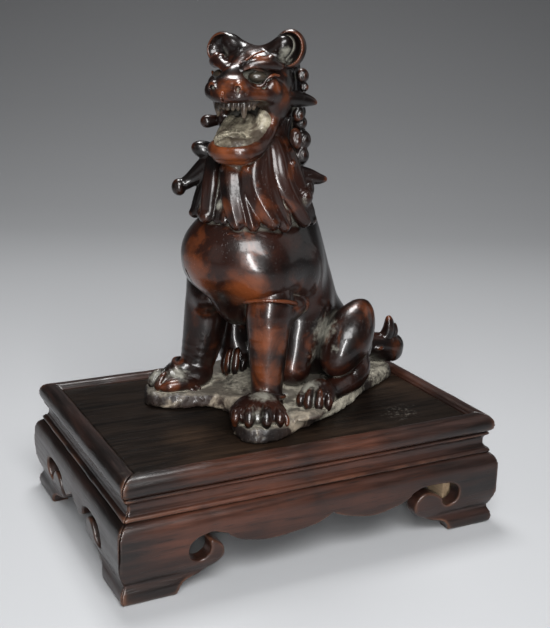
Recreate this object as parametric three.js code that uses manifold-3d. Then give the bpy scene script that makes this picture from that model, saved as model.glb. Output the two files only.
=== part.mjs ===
// A guardian lion (foo dog) in patinated cast bronze, sitting on a low hardwood display stand.
// Millimetres, +Z up. The origin is on the surface under the middle of the stand, +X runs along
// the stand's long side and the long face at -Y is its front.
import * as THREE from 'three';
import { mergeVertices } from 'three/addons/utils/BufferGeometryUtils.js';
import Module from 'manifold-3d';

const wasm = await Module();
wasm.setup();

// ---- stand: overall sizes ----
const standLength = 200; // outer edge of the top frame, along X
const standDepth = 137; // outer edge of the top frame, along Y
const rimHeight = 59.5; // top of the moulded rim above the surface
const railHeight = 9.2; // top frame, from its underside to the rim
const railWidth = 10; // top frame, seen from above
const waistHeight = 11.2; // recessed moulding between frame and aprons
const waistInset = 4; // depth of the waist's hollow behind the frame's edge
const waistThickness = 7.5;
const apronThickness = 8.5;
const apronBulge = 2.6; // how far the aprons swell past the frame's edge
const jointGap = 0.15; // each side of a glued joint

// ---- stand: top panel ----
const panelRecess = 2.7; // rim to panel surface
const panelThickness = 5.5;
const panelClearance = 0.4; // floating panel to the frame's inner edge
const tongueThickness = 2.2;
const tongueLength = 3.2;
const battenWidth = 18;
const battenHeight = 6;

// ---- stand: cusped aprons with scroll feet ----
const footWidth = 25; // flat pad of each foot, measured from the corner
const hookReach = 48; // tip of the scroll, measured from the corner
const scrollEye = 5.2; // half width of the hole inside the scroll
const archCrown = 19; // lowest line of the apron between feet and middle
const archCusp = 25.6; // height of the pointed middle
const cuspShift = 4; // the front cusp is cut a little to one side
const glueBlockSide = 13;
const glueBlockHeight = 26;

// ---- lion ----
const lionX = -5;
const lionY = 8;
const lionHeading = THREE.MathUtils.degToRad(200);
const headTurn = THREE.MathUtils.degToRad(18);
const rimClearance = 0.5; // casting's foot to the frame's inner edge, at least
const seatGap = 0.25; // loose casting resting on the panel
const castGap = 0.3; // between neighbouring cast pieces
const plinthThickness = 8;
const plinthBevel = 1.6;
const chestRadius = 30;
const haunchHeight = 42;
const neckRadius = 19;
const foreLegSpread = 24.5; // leg centre from the middle line
const foreLegForward = 10;
const foreLegRadius = 9.3;
const ringHeight = 58; // raised ring at the top of the forelegs
const headHeight = 158; // middle of the head above the plinth's underside
const manePieces = 13;
const maneRadius = 27;
const maneHem = 98;

const lengthwise = new THREE.Vector3(1, 0, 0);
const upward = new THREE.Vector3(0, 0, 1);

// ---- solids ----
function toSolid(geometry) {
  const bare = geometry.clone();
  bare.deleteAttribute('normal');
  bare.deleteAttribute('uv');
  const merged = mergeVertices(bare, 1e-4);
  const corners = merged.index.array;
  const triangles = [];
  for (let i = 0; i < corners.length; i += 3) {
    const [a, b, c] = corners.slice(i, i + 3);
    if (a !== b && b !== c && c !== a) triangles.push(a, b, c);
  }
  return new wasm.Manifold(new wasm.Mesh({
    numProp: 3,
    vertProperties: new Float32Array(merged.attributes.position.array),
    triVerts: new Uint32Array(triangles),
  }));
}

function toGeometry(solid) {
  const mesh = solid.getMesh();
  const geometry = new THREE.BufferGeometry();
  const positions = new Float32Array(mesh.vertProperties);
  geometry.setAttribute('position', new THREE.BufferAttribute(positions, 3));
  geometry.setIndex(new THREE.BufferAttribute(new Uint32Array(mesh.triVerts), 1));
  const flat = geometry.toNonIndexed();
  flat.computeVertexNormals();
  return flat;
}

function join(solids) {
  return solids.reduce((sum, solid) => sum.add(solid));
}

function cut(solid, cutters) {
  return cutters.reduce((rest, cutter) => rest.subtract(cutter), solid);
}

// An ellipsoid; turn is [about X, about Y, about Z] in degrees.
function ball(center, radii, turn = [0, 0, 0], sides = 12) {
  return (grow) => {
    const geometry = new THREE.SphereGeometry(1, sides, sides / 2);
    geometry.rotateX(Math.PI / 2);
    geometry.scale(radii[0] + grow, radii[1] + grow, radii[2] + grow);
    const [x, y, z] = turn.map(THREE.MathUtils.degToRad);
    geometry.applyMatrix4(new THREE.Matrix4().makeRotationFromEuler(new THREE.Euler(x, y, z)));
    geometry.translate(...center);
    return toSolid(geometry);
  };
}

// A tapered limb: two round ends of their own radius joined by a cone that touches both.
function limb(from, fromRadius, to, toRadius, sides = 12) {
  return (grow) => {
    const start = new THREE.Vector3(...from);
    const axis = new THREE.Vector3(...to).sub(start);
    const length = axis.length();
    const tilt = Math.asin((fromRadius - toRadius) / length);
    const profile = [];
    const arcSteps = Math.max(1, Math.floor(sides / 4));
    for (let i = 0; i <= arcSteps; i += 1) {
      const angle = -Math.PI / 2 + (i / arcSteps) * (Math.PI / 2 + tilt);
      const radius = fromRadius + grow;
      profile.push(new THREE.Vector2(radius * Math.cos(angle), radius * Math.sin(angle)));
    }
    for (let i = 0; i <= arcSteps; i += 1) {
      const angle = tilt + (i / arcSteps) * (Math.PI / 2 - tilt);
      const radius = toRadius + grow;
      profile.push(new THREE.Vector2(radius * Math.cos(angle), length + radius * Math.sin(angle)));
    }
    profile[0].x = 0;
    profile[profile.length - 1].x = 0;
    const geometry = new THREE.LatheGeometry(profile, sides);
    const turn = new THREE.Quaternion();
    turn.setFromUnitVectors(new THREE.Vector3(0, 1, 0), axis.normalize());
    geometry.applyQuaternion(turn);
    geometry.translate(...from);
    return toSolid(geometry);
  };
}

// A closed outline in a plane, pushed along the third axis and centred on it.
function slabOf(points, thickness) {
  const shape = new THREE.Shape(points.map(([x, y]) => new THREE.Vector2(x, y)));
  const geometry = new THREE.ExtrudeGeometry(shape, { depth: thickness, bevelEnabled: false });
  geometry.translate(0, 0, -thickness / 2);
  return geometry;
}

function boxSolid(center, size) {
  const geometry = new THREE.BoxGeometry(...size);
  geometry.translate(...center);
  return toSolid(geometry);
}

function lumps(list) {
  return (grow) => join(list.map((lump) => lump(grow)));
}

function mesh(name, solid, material) {
  const piece = new THREE.Mesh(toGeometry(solid), material);
  piece.name = name;
  return piece;
}

// ---- finishes ----
const rosewood = { color: 0x3a1d12, roughness: 0.38, metalness: 0 };
const panelWood = { color: 0x1d1412, roughness: 0.5, metalness: 0 };
const rawWood = { color: 0x9a7a58, roughness: 0.8, metalness: 0 };
const bronze = { color: 0x3b170d, roughness: 0.28, metalness: 0.45 };
const dustyBronze = { color: 0x6d6555, roughness: 0.85, metalness: 0.2 };
const glossyEye = { color: 0x120c0a, roughness: 0.12, metalness: 0 };

function finish(look) {
  return new THREE.MeshStandardMaterial(look);
}

// ---- the stand ----
const railBottom = rimHeight - railHeight;
const waistBottom = railBottom - waistHeight;
const panelTop = rimHeight - panelRecess;
const apronTop = waistBottom - jointGap * 2;
const footHeight = 2.3;

// Sections are [inset from the frame's outer edge, height].
const railSection = [
  [1.8, railBottom], [0.4, railBottom + 1.4], [0, railBottom + 3.6], [0.7, rimHeight - 3.2],
  [2.6, rimHeight - 0.9], [5, rimHeight], [railWidth - 1.8, rimHeight - 0.2],
  [railWidth, rimHeight - 1.6], [railWidth, railBottom],
];
const waistInner = waistInset + waistThickness;
const waistTop = railBottom - jointGap * 2;
const waistSection = [
  [waistInner, waistTop], [2.2, waistTop], [1.9, waistTop - 1], [waistInset - 0.3, waistTop - 2.8],
  [waistInset, waistBottom + 5.2], [waistInset - 0.6, waistBottom + 3.4],
  [1.5, waistBottom + 1.6], [1.2, waistBottom], [waistInner, waistBottom],
];
const apronFace = [
  [1.2, apronTop], [-1.4, apronTop - 2.7], [-apronBulge, apronTop - 6.8],
  [-apronBulge, apronTop - 14.8], [-1.6, 15.3], [0.2, 9], [2.4, 5.2],
  [2.1, footHeight], [3.2, 0],
];
const apronInside = apronFace.map(([inset, z]) => [inset + apronThickness, z]).reverse();
const apronSection = [...apronFace, ...apronInside];

// One side of a four-sided frame: the section runs along X at the front edge and both ends
// are mitred at 45 degrees.
function mitredSide(section, length, depth) {
  const run = length + 4 * apronBulge;
  const geometry = slabOf(section.map(([inset, z]) => [inset - depth / 2, z]), run);
  geometry.applyMatrix4(new THREE.Matrix4().makeBasis(
    new THREE.Vector3(0, 1, 0), upward, lengthwise));
  const reach = 60;
  const ends = [-1, 1].map((end) => {
    const block = new THREE.BoxGeometry(reach, reach * 3, reach * 3);
    block.translate(end * (reach / 2 - jointGap), 0, 0);
    block.rotateZ(end * THREE.MathUtils.degToRad(45));
    block.translate((end * length) / 2, -depth / 2, 0);
    return toSolid(block);
  });
  return cut(toSolid(geometry), ends);
}

// The foot and scroll at one end of an apron, from the middle of the span out to the corner.
// Distances are measured back from the corner; eye is where the scroll's hole lies.
function footOutline(eye) {
  const hookTop = Math.max(hookReach - 8, eye + scrollEye + 1);
  const curl = new THREE.SplineCurve([
    [hookReach + 2, 26.2], [hookReach - 5, 28.4], [eye + 4, 28.2], [eye - 1.5, 27],
    [eye - 4.6, 24.4], [eye - scrollEye, 20.6], [eye - 3.6, 16.8], [eye + 0.4, 15.4],
    [eye + 3.8, 17.4], [eye + scrollEye, 20.8], [hookTop - 1.5, 24.6], [hookReach - 4.4, 24.2],
    [hookReach - 0.6, 20.8], [hookReach - 0.4, 15.4], [hookReach - 4.4, 11],
    [hookReach - 11, 7.9], [footWidth + 4, 5.8], [footWidth + 1.5, 3],
  ].map(([x, z]) => new THREE.Vector2(x, z)));
  return curl.getPoints(28).map((point) => [point.x, point.y]);
}

// Everything that is sawn out below the apron's edge, feet and scrolls excepted.
function archOutline(length, leftEye, rightEye, cusp) {
  const half = length / 2;
  const left = footOutline(leftEye).reverse().map(([back, z]) => [back - half, z]);
  const right = footOutline(rightEye).map(([back, z]) => [half - back, z]);
  const span = half - hookReach;
  const cuspHalf = Math.min(8, span * 0.3);
  const wave = (side) => new THREE.SplineCurve([
    [cusp, archCusp],
    [cusp + side * cuspHalf, archCusp - 3.6],
    [side * span * 0.5, archCrown],
    [side * (span - 4), 24.2],
  ].map(([x, z]) => new THREE.Vector2(x, z))).getPoints(12).map((point) => [point.x, point.y]);
  const top = [...wave(-1).reverse(), ...wave(1).slice(1)];
  const footEnd = half - footWidth;
  return [
    [-footEnd - 1, -5], [-footEnd, footHeight - 1], ...left, ...top, ...right,
    [footEnd, footHeight - 1], [footEnd + 1, -5],
  ];
}

function apron(length, depth, leftEye, rightEye, cusp) {
  const board = mitredSide(apronSection, length, depth);
  const arch = slabOf(archOutline(length, leftEye, rightEye, cusp), 40);
  arch.rotateX(Math.PI / 2);
  arch.translate(0, -depth / 2, 0);
  return board.subtract(toSolid(arch));
}

function groove(length, depth) {
  const middle = panelTop - panelThickness / 2;
  const height = tongueThickness + 2 * jointGap;
  const width = tongueLength + panelClearance;
  const runIn = length - 2 * railWidth + 2 * width;
  return boxSolid([0, -depth / 2 + railWidth - width / 2 + 0.5, middle], [runIn, width + 1, height]);
}

function panel() {
  const length = standLength - 2 * (railWidth + panelClearance);
  const depth = standDepth - 2 * (railWidth + panelClearance);
  const field = boxSolid([0, 0, panelTop - panelThickness / 2], [length, depth, panelThickness]);
  const tongue = boxSolid(
    [0, 0, panelTop - panelThickness / 2],
    [length + 2 * tongueLength, depth + 2 * tongueLength, tongueThickness],
  );
  return field.add(tongue);
}

const sides = [
  { name: 'front', turn: 0, long: true, eyes: [36, 27], cusp: cuspShift },
  { name: 'right', turn: 90, long: false, eyes: [29, 29], cusp: 0 },
  { name: 'back', turn: 180, long: true, eyes: [30, 30], cusp: 0 },
  { name: 'left', turn: 270, long: false, eyes: [29, 29], cusp: 0 },
];

function stand() {
  const group = new THREE.Group();
  for (const side of sides) {
    const length = side.long ? standLength : standDepth;
    const depth = side.long ? standDepth : standLength;
    const rail = mitredSide(railSection, length, depth).subtract(groove(length, depth));
    const waist = mitredSide(waistSection, length, depth);
    const board = apron(length, depth, ...side.eyes, side.cusp);
    const pieces = [
      mesh(`frame_rail_${side.name}`, rail, finish(rosewood)),
      mesh(`waist_moulding_${side.name}`, waist, finish(rosewood)),
      mesh(`apron_${side.name}`, board, finish(rosewood)),
    ];
    for (const piece of pieces) piece.rotation.z = THREE.MathUtils.degToRad(side.turn);
    group.add(...pieces);
  }
  group.add(mesh('top_panel', panel(), finish(panelWood)));
  const battenTop = panelTop - panelThickness - jointGap * 2;
  const battenLength = standDepth - 2 * (waistInner + jointGap * 2);
  const batten = boxSolid([0, 0, battenTop - battenHeight / 2], [battenWidth, battenLength, battenHeight]);
  group.add(mesh('panel_batten', batten, finish(rawWood)));
  group.add(...glueBlocks());
  return group;
}

// Blocks glued into the corners behind the aprons.
function glueBlocks() {
  const inset = apronThickness + 1.2 + jointGap * 2 + glueBlockSide / 2;
  const middle = apronTop - 1 - glueBlockHeight / 2;
  const size = [glueBlockSide, glueBlockSide, glueBlockHeight];
  const places = [[-1, -1, 'front_left'], [1, -1, 'front_right'], [1, 1, 'back_right'], [-1, 1, 'back_left']];
  return places.map(([x, y, name]) => {
    const center = [x * (standLength / 2 - inset), y * (standDepth / 2 - inset), middle];
    return mesh(`glue_block_${name}`, boxSolid(center, size), finish(rawWood));
  });
}

// ---- the lion, in its own frame: +X is where it faces, +Y its left, Z from the plinth's foot ----
const floorOfLion = plinthThickness;
const headPlace = new THREE.Matrix4().makeRotationZ(headTurn).setPosition(-2, 0, headHeight);

function inHead(shape) {
  return (grow) => shape(grow).transform(headPlace.elements);
}

function plinth() {
  const edge = new THREE.CatmullRomCurve3([
    [37, -39], [45, -26], [37, -13.5], [23, -2], [23, 10], [32, 21], [39.5, 31], [41.5, 43],
    [31, 51], [15, 49.5], [0, 48], [-24, 46], [-57, 36], [-84, 29], [-88, 22], [-82, 2],
    [-70, -18], [-50, -33], [-25, -40], [0, -43], [22, -44],
  ].map(([x, y]) => new THREE.Vector3(x, y, 0)), true);
  const shape = new THREE.Shape(edge.getPoints(48).slice(0, -1).map((p) => new THREE.Vector2(p.x, p.y)));
  const geometry = new THREE.ExtrudeGeometry(shape, {
    depth: plinthThickness - 2 * plinthBevel,
    bevelThickness: plinthBevel,
    bevelSize: plinthBevel,
    bevelOffset: -plinthBevel,
    bevelSegments: 1,
  });
  geometry.translate(0, 0, plinthBevel);
  return toSolid(geometry).intersect(insideRim());
}

// The room inside the stand's rim, seen from the lion.
function insideRim() {
  const edge = 2 * (railWidth + rimClearance);
  const tall = 60;
  const room = new THREE.BoxGeometry(standLength - edge, standDepth - edge, tall);
  room.translate(-lionX, -lionY, 0);
  room.rotateZ(-lionHeading);
  return toSolid(room);
}

function belowFloor(grow) {
  const depth = 40;
  return boxSolid([0, 0, floorOfLion + grow - depth / 2], [260, 260, depth]);
}

const torsoShape = lumps([
  ball([3, 0, 76], [chestRadius, chestRadius + 1, 26], [0, 0, 0], 18),
  limb([-14, 0, 86], 24, [-34, 0, haunchHeight - 6], 27, 16),
  ball([-42, 0, 25], [27, 30, 21], [0, 0, 0], 16),
  limb([-6, 0, 92], 22, [-5, 0, 112], neckRadius, 12),
]);

function foreLeg(side) {
  const y = side * foreLegSpread;
  const ankle = floorOfLion + 11;
  const paw = side > 0 ? [30, y + 12] : [33, y - 4];
  const toe = side > 0 ? [0.82, 0.57] : [0.98, -0.12];
  const across = [-toe[1], toe[0]];
  const toes = [-1.5, -0.5, 0.5, 1.5].map((step) => {
    const reach = Math.abs(step) > 1 ? 2 : 5;
    const at = [0, 1].map((axis) => paw[axis] + toe[axis] * reach + across[axis] * step * 5);
    const back = [0, 1].map((axis) => paw[axis] - toe[axis] * 6 + across[axis] * step * 3.4);
    return limb([...back, floorOfLion + 7], 3.4, [...at, floorOfLion + 4.4], 3.6, 8);
  });
  return lumps([
    limb([foreLegForward - 2, y, ringHeight - 2], 12, [foreLegForward, y, ankle], foreLegRadius),
    ball([foreLegForward - 1, y, ringHeight - 3], [14, 13, 4]),
    ball([foreLegForward + 1, y, ankle], [11.5, 11, 3.2]),
    limb([foreLegForward + 3, y, floorOfLion + 7], 9, [paw[0], paw[1], floorOfLion + 5], 7.5),
    ...toes,
  ]);
}

function hindLeg(side) {
  const pawHeading = side > 0 ? 0.45 : 0;
  const heel = side > 0 ? [-34, 35] : [-38, -27];
  const toe = [Math.cos(pawHeading), Math.sin(pawHeading)];
  const across = [-toe[1], toe[0]];
  const paw = [heel[0] + toe[0] * 26, heel[1] + toe[1] * 26];
  const thigh = side > 0
    ? ball([-38, 38, floorOfLion + 22], [15, 11.5, 26], [0, -28, 18], 14)
    : ball([-38, -31, floorOfLion + 20], [15, 11.5, 24], [0, -28, -10], 14);
  const toes = [-1.5, -0.5, 0.5, 1.5].map((step) => {
    const at = [0, 1].map((axis) => paw[axis] + toe[axis] * 4 + across[axis] * step * 4);
    const back = [0, 1].map((axis) => paw[axis] - toe[axis] * 6 + across[axis] * step * 3);
    return limb([...back, floorOfLion + 6.5], 3, [...at, floorOfLion + 4], 3.2, 8);
  });
  return lumps([
    thigh,
    limb([...heel, floorOfLion + 7], 6.5, [...paw, floorOfLion + 5], 6.8),
    ...toes,
  ]);
}

const mouth = inHead(limb([5, 0, -12], 5, [28, 0, -13.5], 11, 13));
const eyeShape = (side) => inHead(ball([17.5, side * 9.5, 8.3], [3.2, 4.4, 3.2], [0, 0, 0], 10));
const tongueShape = inHead(lumps([
  limb([6, 0, -15.5], 4, [14, 0, -18.4], 3.8, 8),
  limb([14, 0, -18.4], 3.8, [17.5, 0, -18.6], 2.8, 8),
]));

function toothRow(reach, width, height, fangLength, direction) {
  const radius = 1.6;
  const places = [-64, -38, -13, 13, 38, 64].map(THREE.MathUtils.degToRad);
  const at = (angle, z) => [reach - 12 + 12 * Math.cos(angle), width * Math.sin(angle), z];
  const gum = places.slice(1).map((angle, i) => (
    limb(at(places[i], height), radius, at(angle, height), radius, 5)));
  const teeth = places.map((angle, i) => {
    const long = i === 1 || i === 4;
    const tip = height + direction * (long ? fangLength : 3);
    return limb(at(angle, height), radius, at(angle, tip), long ? 0.8 : 1.2, 5);
  });
  return inHead(lumps([...gum, ...teeth]));
}

const upperTeethShape = toothRow(28, 9.5, -3.8, 7.5, -1);
const lowerTeethShape = toothRow(28, 10, -24.6, 4, 1);

const headShape = inHead(lumps([
  ball([-2, 0, 5], [22, 21, 20.5], [0, 0, 0], 16),
  limb([8, 0, 4], 15, [22.5, 0, 4.2], 11, 13),
  ball([29, 0, 6], [5, 8.5, 4.5]),
  ball([7, 14, 2], [12, 8.5, 8]),
  ball([7, -14, 2], [12, 8.5, 8]),
  limb([2, 0, -18], 15, [12, 0, -20], 11, 13),
  ball([14, 0, -24.5], [17, 13, 7.5], [0, 0, 0], 14),
  limb([0, 0, -4], 16, [3, 0, -16], 15, 13),
  limb([15, 4, 13.5], 3.6, [10, 17, 15], 3.4, 8),
  limb([15, -4, 13.5], 3.6, [10, -17, 15], 3.4, 8),
  limb([-5, 0, -8], 18, [-4, 0, -27], 17, 13),
]));

function earShape(side) {
  return inHead(ball([-3, side * 18.2, 22], [4.6, 8.2, 10], [side * -20, -8, side * 8], 12));
}

function earHollow(side) {
  return inHead(ball([0.8, side * 18, 22.6], [4, 5.8, 7.4], [side * -20, -8, side * 8], 10))(0);
}

// The mane: a collar round the neck with hanging locks that end in round knobs, and stacked
// curls behind the cheeks and down the nape.
function maneShape() {
  const pieces = [limb([-6, 0, 132], 20, [-3, 0, 112], maneRadius - 2, 14)];
  for (let i = 0; i < manePieces; i += 1) {
    const angle = ((i + 0.5) / manePieces) * Math.PI * 2;
    const [c, s] = [Math.cos(angle), Math.sin(angle)];
    const hem = c < -0.2 ? maneHem + 8 : maneHem;
    const root = [-3 + 21 * c, 21 * s, 136];
    const belly = [-1 + maneRadius * c, maneRadius * s, 116];
    const tip = [-1 + (maneRadius + 4.5) * c, (maneRadius + 4.5) * s, hem + 3];
    pieces.push(limb(root, 4.6, belly, 5.4, 6));
    pieces.push(limb(belly, 5.4, tip, 4.2, 6));
  }
  for (const side of [-1, 1]) {
    [[-4, 23, 128], [-9, 22, 138], [-12, 21, 149], [-14, 19, 160], [-15, 15, 171]].forEach(([x, y, z]) => {
      pieces.push(ball([x, side * y, z], [7, 6, 7], [0, 0, 0], 8));
    });
    pieces.push(limb([-12, side * 18, 152], 5, [-13, side * 30, 154], 1.6, 7));
    pieces.push(limb([-8, side * 24, 119], 5.5, [-12, side * 35, 119], 2, 7));
  }
  for (const [x, z, radius] of [[-21, 172, 9], [-25, 158, 10], [-27, 143, 11], [-28, 128, 11]]) {
    pieces.push(ball([x, 0, z], [radius, radius + 5, radius], [0, 0, 0], 10));
  }
  return lumps(pieces);
}

const tailShape = lumps([
  limb([-66, 13, floorOfLion + 9], 7.5, [-86, 25, floorOfLion + 6.8], 6.3, 10),
  limb([-86, 25, floorOfLion + 6.8], 6.3, [-90, 27, floorOfLion + 14], 4.2, 10),
  limb([-90, 27, floorOfLion + 14], 4.2, [-90, 27, floorOfLion + 24], 2.4, 10),
]);

function lion() {
  const floor = belowFloor(castGap);
  const torso = cut(torsoShape(0), [floor]);
  const torsoRoom = torsoShape(castGap);
  const headRoom = headShape(castGap);
  const inserts = [eyeShape(1), eyeShape(-1), tongueShape, upperTeethShape, lowerTeethShape];
  const insertRoom = inserts.map((shape) => shape(castGap));
  const head = cut(headShape(0), [torsoRoom, mouth(0), ...insertRoom]);
  const ears = [1, -1].map((side) => cut(earShape(side)(0), [headRoom, earHollow(side)]));
  const earRoom = [1, -1].map((side) => earShape(side)(castGap));
  const maneGroup = cut(maneShape()(0), [torsoRoom, headRoom, mouth(0), ...insertRoom, ...earRoom]);
  const tail = cut(tailShape(0), [torsoRoom, floor]);
  const group = new THREE.Group();
  group.add(mesh('base_slab', plinth(), finish(dustyBronze)));
  group.add(mesh('torso', torso, finish(bronze)));
  group.add(mesh('head', head, finish(bronze)));
  group.add(mesh('mane', maneGroup, finish(bronze)));
  group.add(mesh('tail', tail, finish(bronze)));
  [['left', 1], ['right', -1]].forEach(([name, side], i) => {
    const hindRoom = hindLeg(side)(castGap);
    const fore = cut(foreLeg(side)(0), [torsoRoom, floor, hindRoom]);
    const hind = cut(hindLeg(side)(0), [torsoRoom, floor]);
    group.add(mesh(`foreleg_${name}`, fore, finish(bronze)));
    group.add(mesh(`hind_leg_${name}`, hind, finish(bronze)));
    group.add(mesh(`ear_${name}`, ears[i], finish(bronze)));
    group.add(mesh(`eye_${name}`, eyeShape(side)(0), finish(glossyEye)));
  });
  group.add(mesh('tongue', tongueShape(0), finish(dustyBronze)));
  group.add(mesh('upper_teeth', cut(upperTeethShape(0), [tongueShape(castGap)]), finish(dustyBronze)));
  group.add(mesh('lower_teeth', cut(lowerTeethShape(0), [tongueShape(castGap)]), finish(dustyBronze)));
  group.position.set(lionX, lionY, panelTop + seatGap);
  group.rotation.z = lionHeading;
  return group;
}

const statue = new THREE.Group();
statue.add(stand(), lion());

export default statue;
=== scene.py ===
import math

import bpy
import numpy as np
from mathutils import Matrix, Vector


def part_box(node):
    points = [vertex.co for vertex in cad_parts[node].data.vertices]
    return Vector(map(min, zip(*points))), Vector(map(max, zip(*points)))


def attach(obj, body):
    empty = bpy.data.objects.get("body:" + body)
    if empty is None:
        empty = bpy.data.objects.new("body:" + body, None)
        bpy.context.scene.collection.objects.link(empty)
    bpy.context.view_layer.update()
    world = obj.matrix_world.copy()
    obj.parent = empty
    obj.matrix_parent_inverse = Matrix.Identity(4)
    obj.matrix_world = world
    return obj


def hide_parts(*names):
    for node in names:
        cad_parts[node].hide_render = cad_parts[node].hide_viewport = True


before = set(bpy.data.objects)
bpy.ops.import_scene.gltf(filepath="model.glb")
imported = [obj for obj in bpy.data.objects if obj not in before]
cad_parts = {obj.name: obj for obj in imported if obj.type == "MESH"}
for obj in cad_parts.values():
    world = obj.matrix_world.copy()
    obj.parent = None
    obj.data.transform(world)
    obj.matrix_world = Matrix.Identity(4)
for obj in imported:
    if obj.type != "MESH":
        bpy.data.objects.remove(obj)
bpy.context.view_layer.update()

import openvdb
from mathutils import Matrix, Vector

mm = 0.001
fineness = 1.0   # coarser clay while trying things


cameraSetup = {             # where the camera stands and how it is turned
    "place": (-0.23035, -0.46056, 0.25581),
    "heading": -27.23,      # degrees round the object from its front
    "height": 16.27,        # degrees above level
    "roll": 1.55,
    "lens": 60.19,
}


def makeCamera(values):
    around = math.radians(values["heading"])
    above = math.radians(values["height"])
    lean = math.radians(values["roll"])
    right = Vector((math.cos(around), math.sin(around), 0))
    level = Vector((math.sin(around), -math.cos(around), 0))
    back = level * math.cos(above) + Vector((0, 0, math.sin(above)))
    up = back.cross(right)
    leanedRight = right * math.cos(lean) + up * math.sin(lean)
    leanedUp = up * math.cos(lean) - right * math.sin(lean)
    lens = bpy.data.cameras.new("studioCamera")
    lens.lens = values["lens"]
    lens.sensor_width = 36
    lens.clip_start = 0.01
    camera = bpy.data.objects.new("studioCamera", lens)
    turn = Matrix((leanedRight, leanedUp, back)).transposed().to_4x4()
    camera.matrix_world = Matrix.Translation(values["place"]) @ turn
    bpy.context.scene.collection.objects.link(camera)
    bpy.context.scene.camera = camera


studio = {
    # the floor's greys, each with its share of the run: painted light falloff, a pool of light just behind
    # the object that darkens to near black up the wall
    "floorFalloffGreys": [(0.0, 0.25), (0.24, 0.335), (0.36, 0.305), (0.60, 0.185), (1.0, 0.025)],
    "floorRun": (-0.6, 2.4),        # metres along the sweep, the object at 0
    "floorTint": (0.985, 1.0, 1.03),
    "floorRoughness": 0.6,
    "floorSize": 6.0,
    "wallBack": 1.5,
    "wallHeight": 2.4,
    "sweepRadius": 0.8,             # the curve between floor and wall
    "sweepSteps": 12,
    "lights": [                     # name, place, aim, size and power
        ("keySoftbox", (-0.24, -0.70, 0.86), (0, 0, 0.12), (0.62, 0.46), 16.0),
        ("stripSoftbox", (-0.30, -0.66, 0.28), (0, 0, 0.12), (0.06, 0.42), 5.2),
        ("fillSoftbox", (-1.1, -0.15, 0.45), (0, 0, 0.1), (0.5, 0.8), 0.55),
        ("rightSoftbox", (0.85, -0.15, 0.5), (0, 0, 0.1), (0.4, 0.8), 0.55),
        ("topSoftbox", (0.06, 0.34, 1.15), (0, 0, 0), (0.36, 0.36), 12.0),
    ],
    "roomColor": (0.62, 0.64, 0.67, 1),
    "roomLight": 0.10,
}


def wire(tree, source, socket):
    tree.links.new(source, socket)


def newMaterial(name):
    material = bpy.data.materials.new(name)
    material.use_nodes = True
    tree = material.node_tree
    tree.nodes.clear()
    shader = tree.nodes.new("ShaderNodeBsdfPrincipled")
    output = tree.nodes.new("ShaderNodeOutputMaterial")
    wire(tree, shader.outputs[0], output.inputs["Surface"])
    return material, tree, shader


def makeFloor(values):
    # a sweep: flat floor that curves up into a wall behind the object
    half = values["floorSize"] / 2
    radius = values["sweepRadius"]
    bend = values["wallBack"] - radius
    rows = [(-half, 0.0), (bend, 0.0)]
    for i in range(values["sweepSteps"]):
        angle = (i + 1) / values["sweepSteps"] * math.pi / 2
        rows.append((bend + radius * math.sin(angle), radius - radius * math.cos(angle)))
    rows.append((values["wallBack"], values["wallHeight"]))
    corners = [(side * half, y, z) for y, z in rows for side in (-1, 1)]
    faces = [(2 * i, 2 * i + 1, 2 * i + 3, 2 * i + 2) for i in range(len(rows) - 1)]
    mesh = bpy.data.meshes.new("studioFloor")
    mesh.from_pydata(corners, [], faces)
    for face in mesh.polygons:
        face.use_smooth = True
    floor = bpy.data.objects.new("studioFloor", mesh)
    floor.rotation_euler = (0, 0, math.radians(cameraSetup["heading"]))
    bpy.context.scene.collection.objects.link(floor)
    material, tree, shader = newMaterial("paperPaintedFalloff")
    place = tree.nodes.new("ShaderNodeTexCoord")
    split = tree.nodes.new("ShaderNodeSeparateXYZ")
    run = tree.nodes.new("ShaderNodeMath")
    ramp = tree.nodes.new("ShaderNodeValToRGB")
    stretch = tree.nodes.new("ShaderNodeMapRange")
    for label, end in zip(("From Min", "From Max"), values["floorRun"]):
        stretch.inputs[label].default_value = end
    # the ramp paints light falloff into the sweep's colour: brightest just behind the object, darker toward
    # the front and up the wall
    stops = ramp.color_ramp.elements
    while len(stops) < len(values["floorFalloffGreys"]):
        stops.new(0.5)
    for stop, (share, grey) in zip(stops, values["floorFalloffGreys"]):
        stop.position = share
        stop.color = (*(grey * tint for tint in values["floorTint"]), 1)
    shader.inputs["Roughness"].default_value = values["floorRoughness"]
    wire(tree, place.outputs["Object"], split.inputs[0])
    wire(tree, split.outputs["Y"], run.inputs[0])
    wire(tree, split.outputs["Z"], run.inputs[1])
    wire(tree, run.outputs[0], stretch.inputs["Value"])
    wire(tree, stretch.outputs[0], ramp.inputs[0])
    wire(tree, ramp.outputs[0], shader.inputs["Base Color"])
    mesh.materials.append(material)


def makeLights(values):
    for name, place, aim, size, power in values["lights"]:
        lamp = bpy.data.lights.new(name, "AREA")
        lamp.shape = "RECTANGLE"
        lamp.size, lamp.size_y = size
        lamp.energy = power
        light = bpy.data.objects.new(name, lamp)
        light.location = place
        light.rotation_euler = (Vector(aim) - Vector(place)).to_track_quat("-Z", "Y").to_euler()
        bpy.context.scene.collection.objects.link(light)
    world = bpy.data.worlds.new("studioWorld")
    world.use_nodes = True
    background = world.node_tree.nodes["Background"]
    background.inputs[0].default_value = values["roomColor"]
    background.inputs[1].default_value = values["roomLight"]
    bpy.context.scene.view_settings.view_transform = "Standard"
    bpy.context.scene.world = world
    print("studio set up")


def smoothJoin(a, b, blend):
    if blend <= 0:
        return np.minimum(a, b)
    overlap = np.maximum(blend - np.abs(a - b), 0) / blend
    return np.minimum(a, b) - overlap * overlap * blend * 0.25


def turnMatrix(degrees):
    x, y, z = (math.radians(value) for value in degrees)
    return np.array(Matrix.Rotation(z, 3, "Z") @ Matrix.Rotation(y, 3, "Y") @ Matrix.Rotation(x, 3, "X"))


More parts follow.
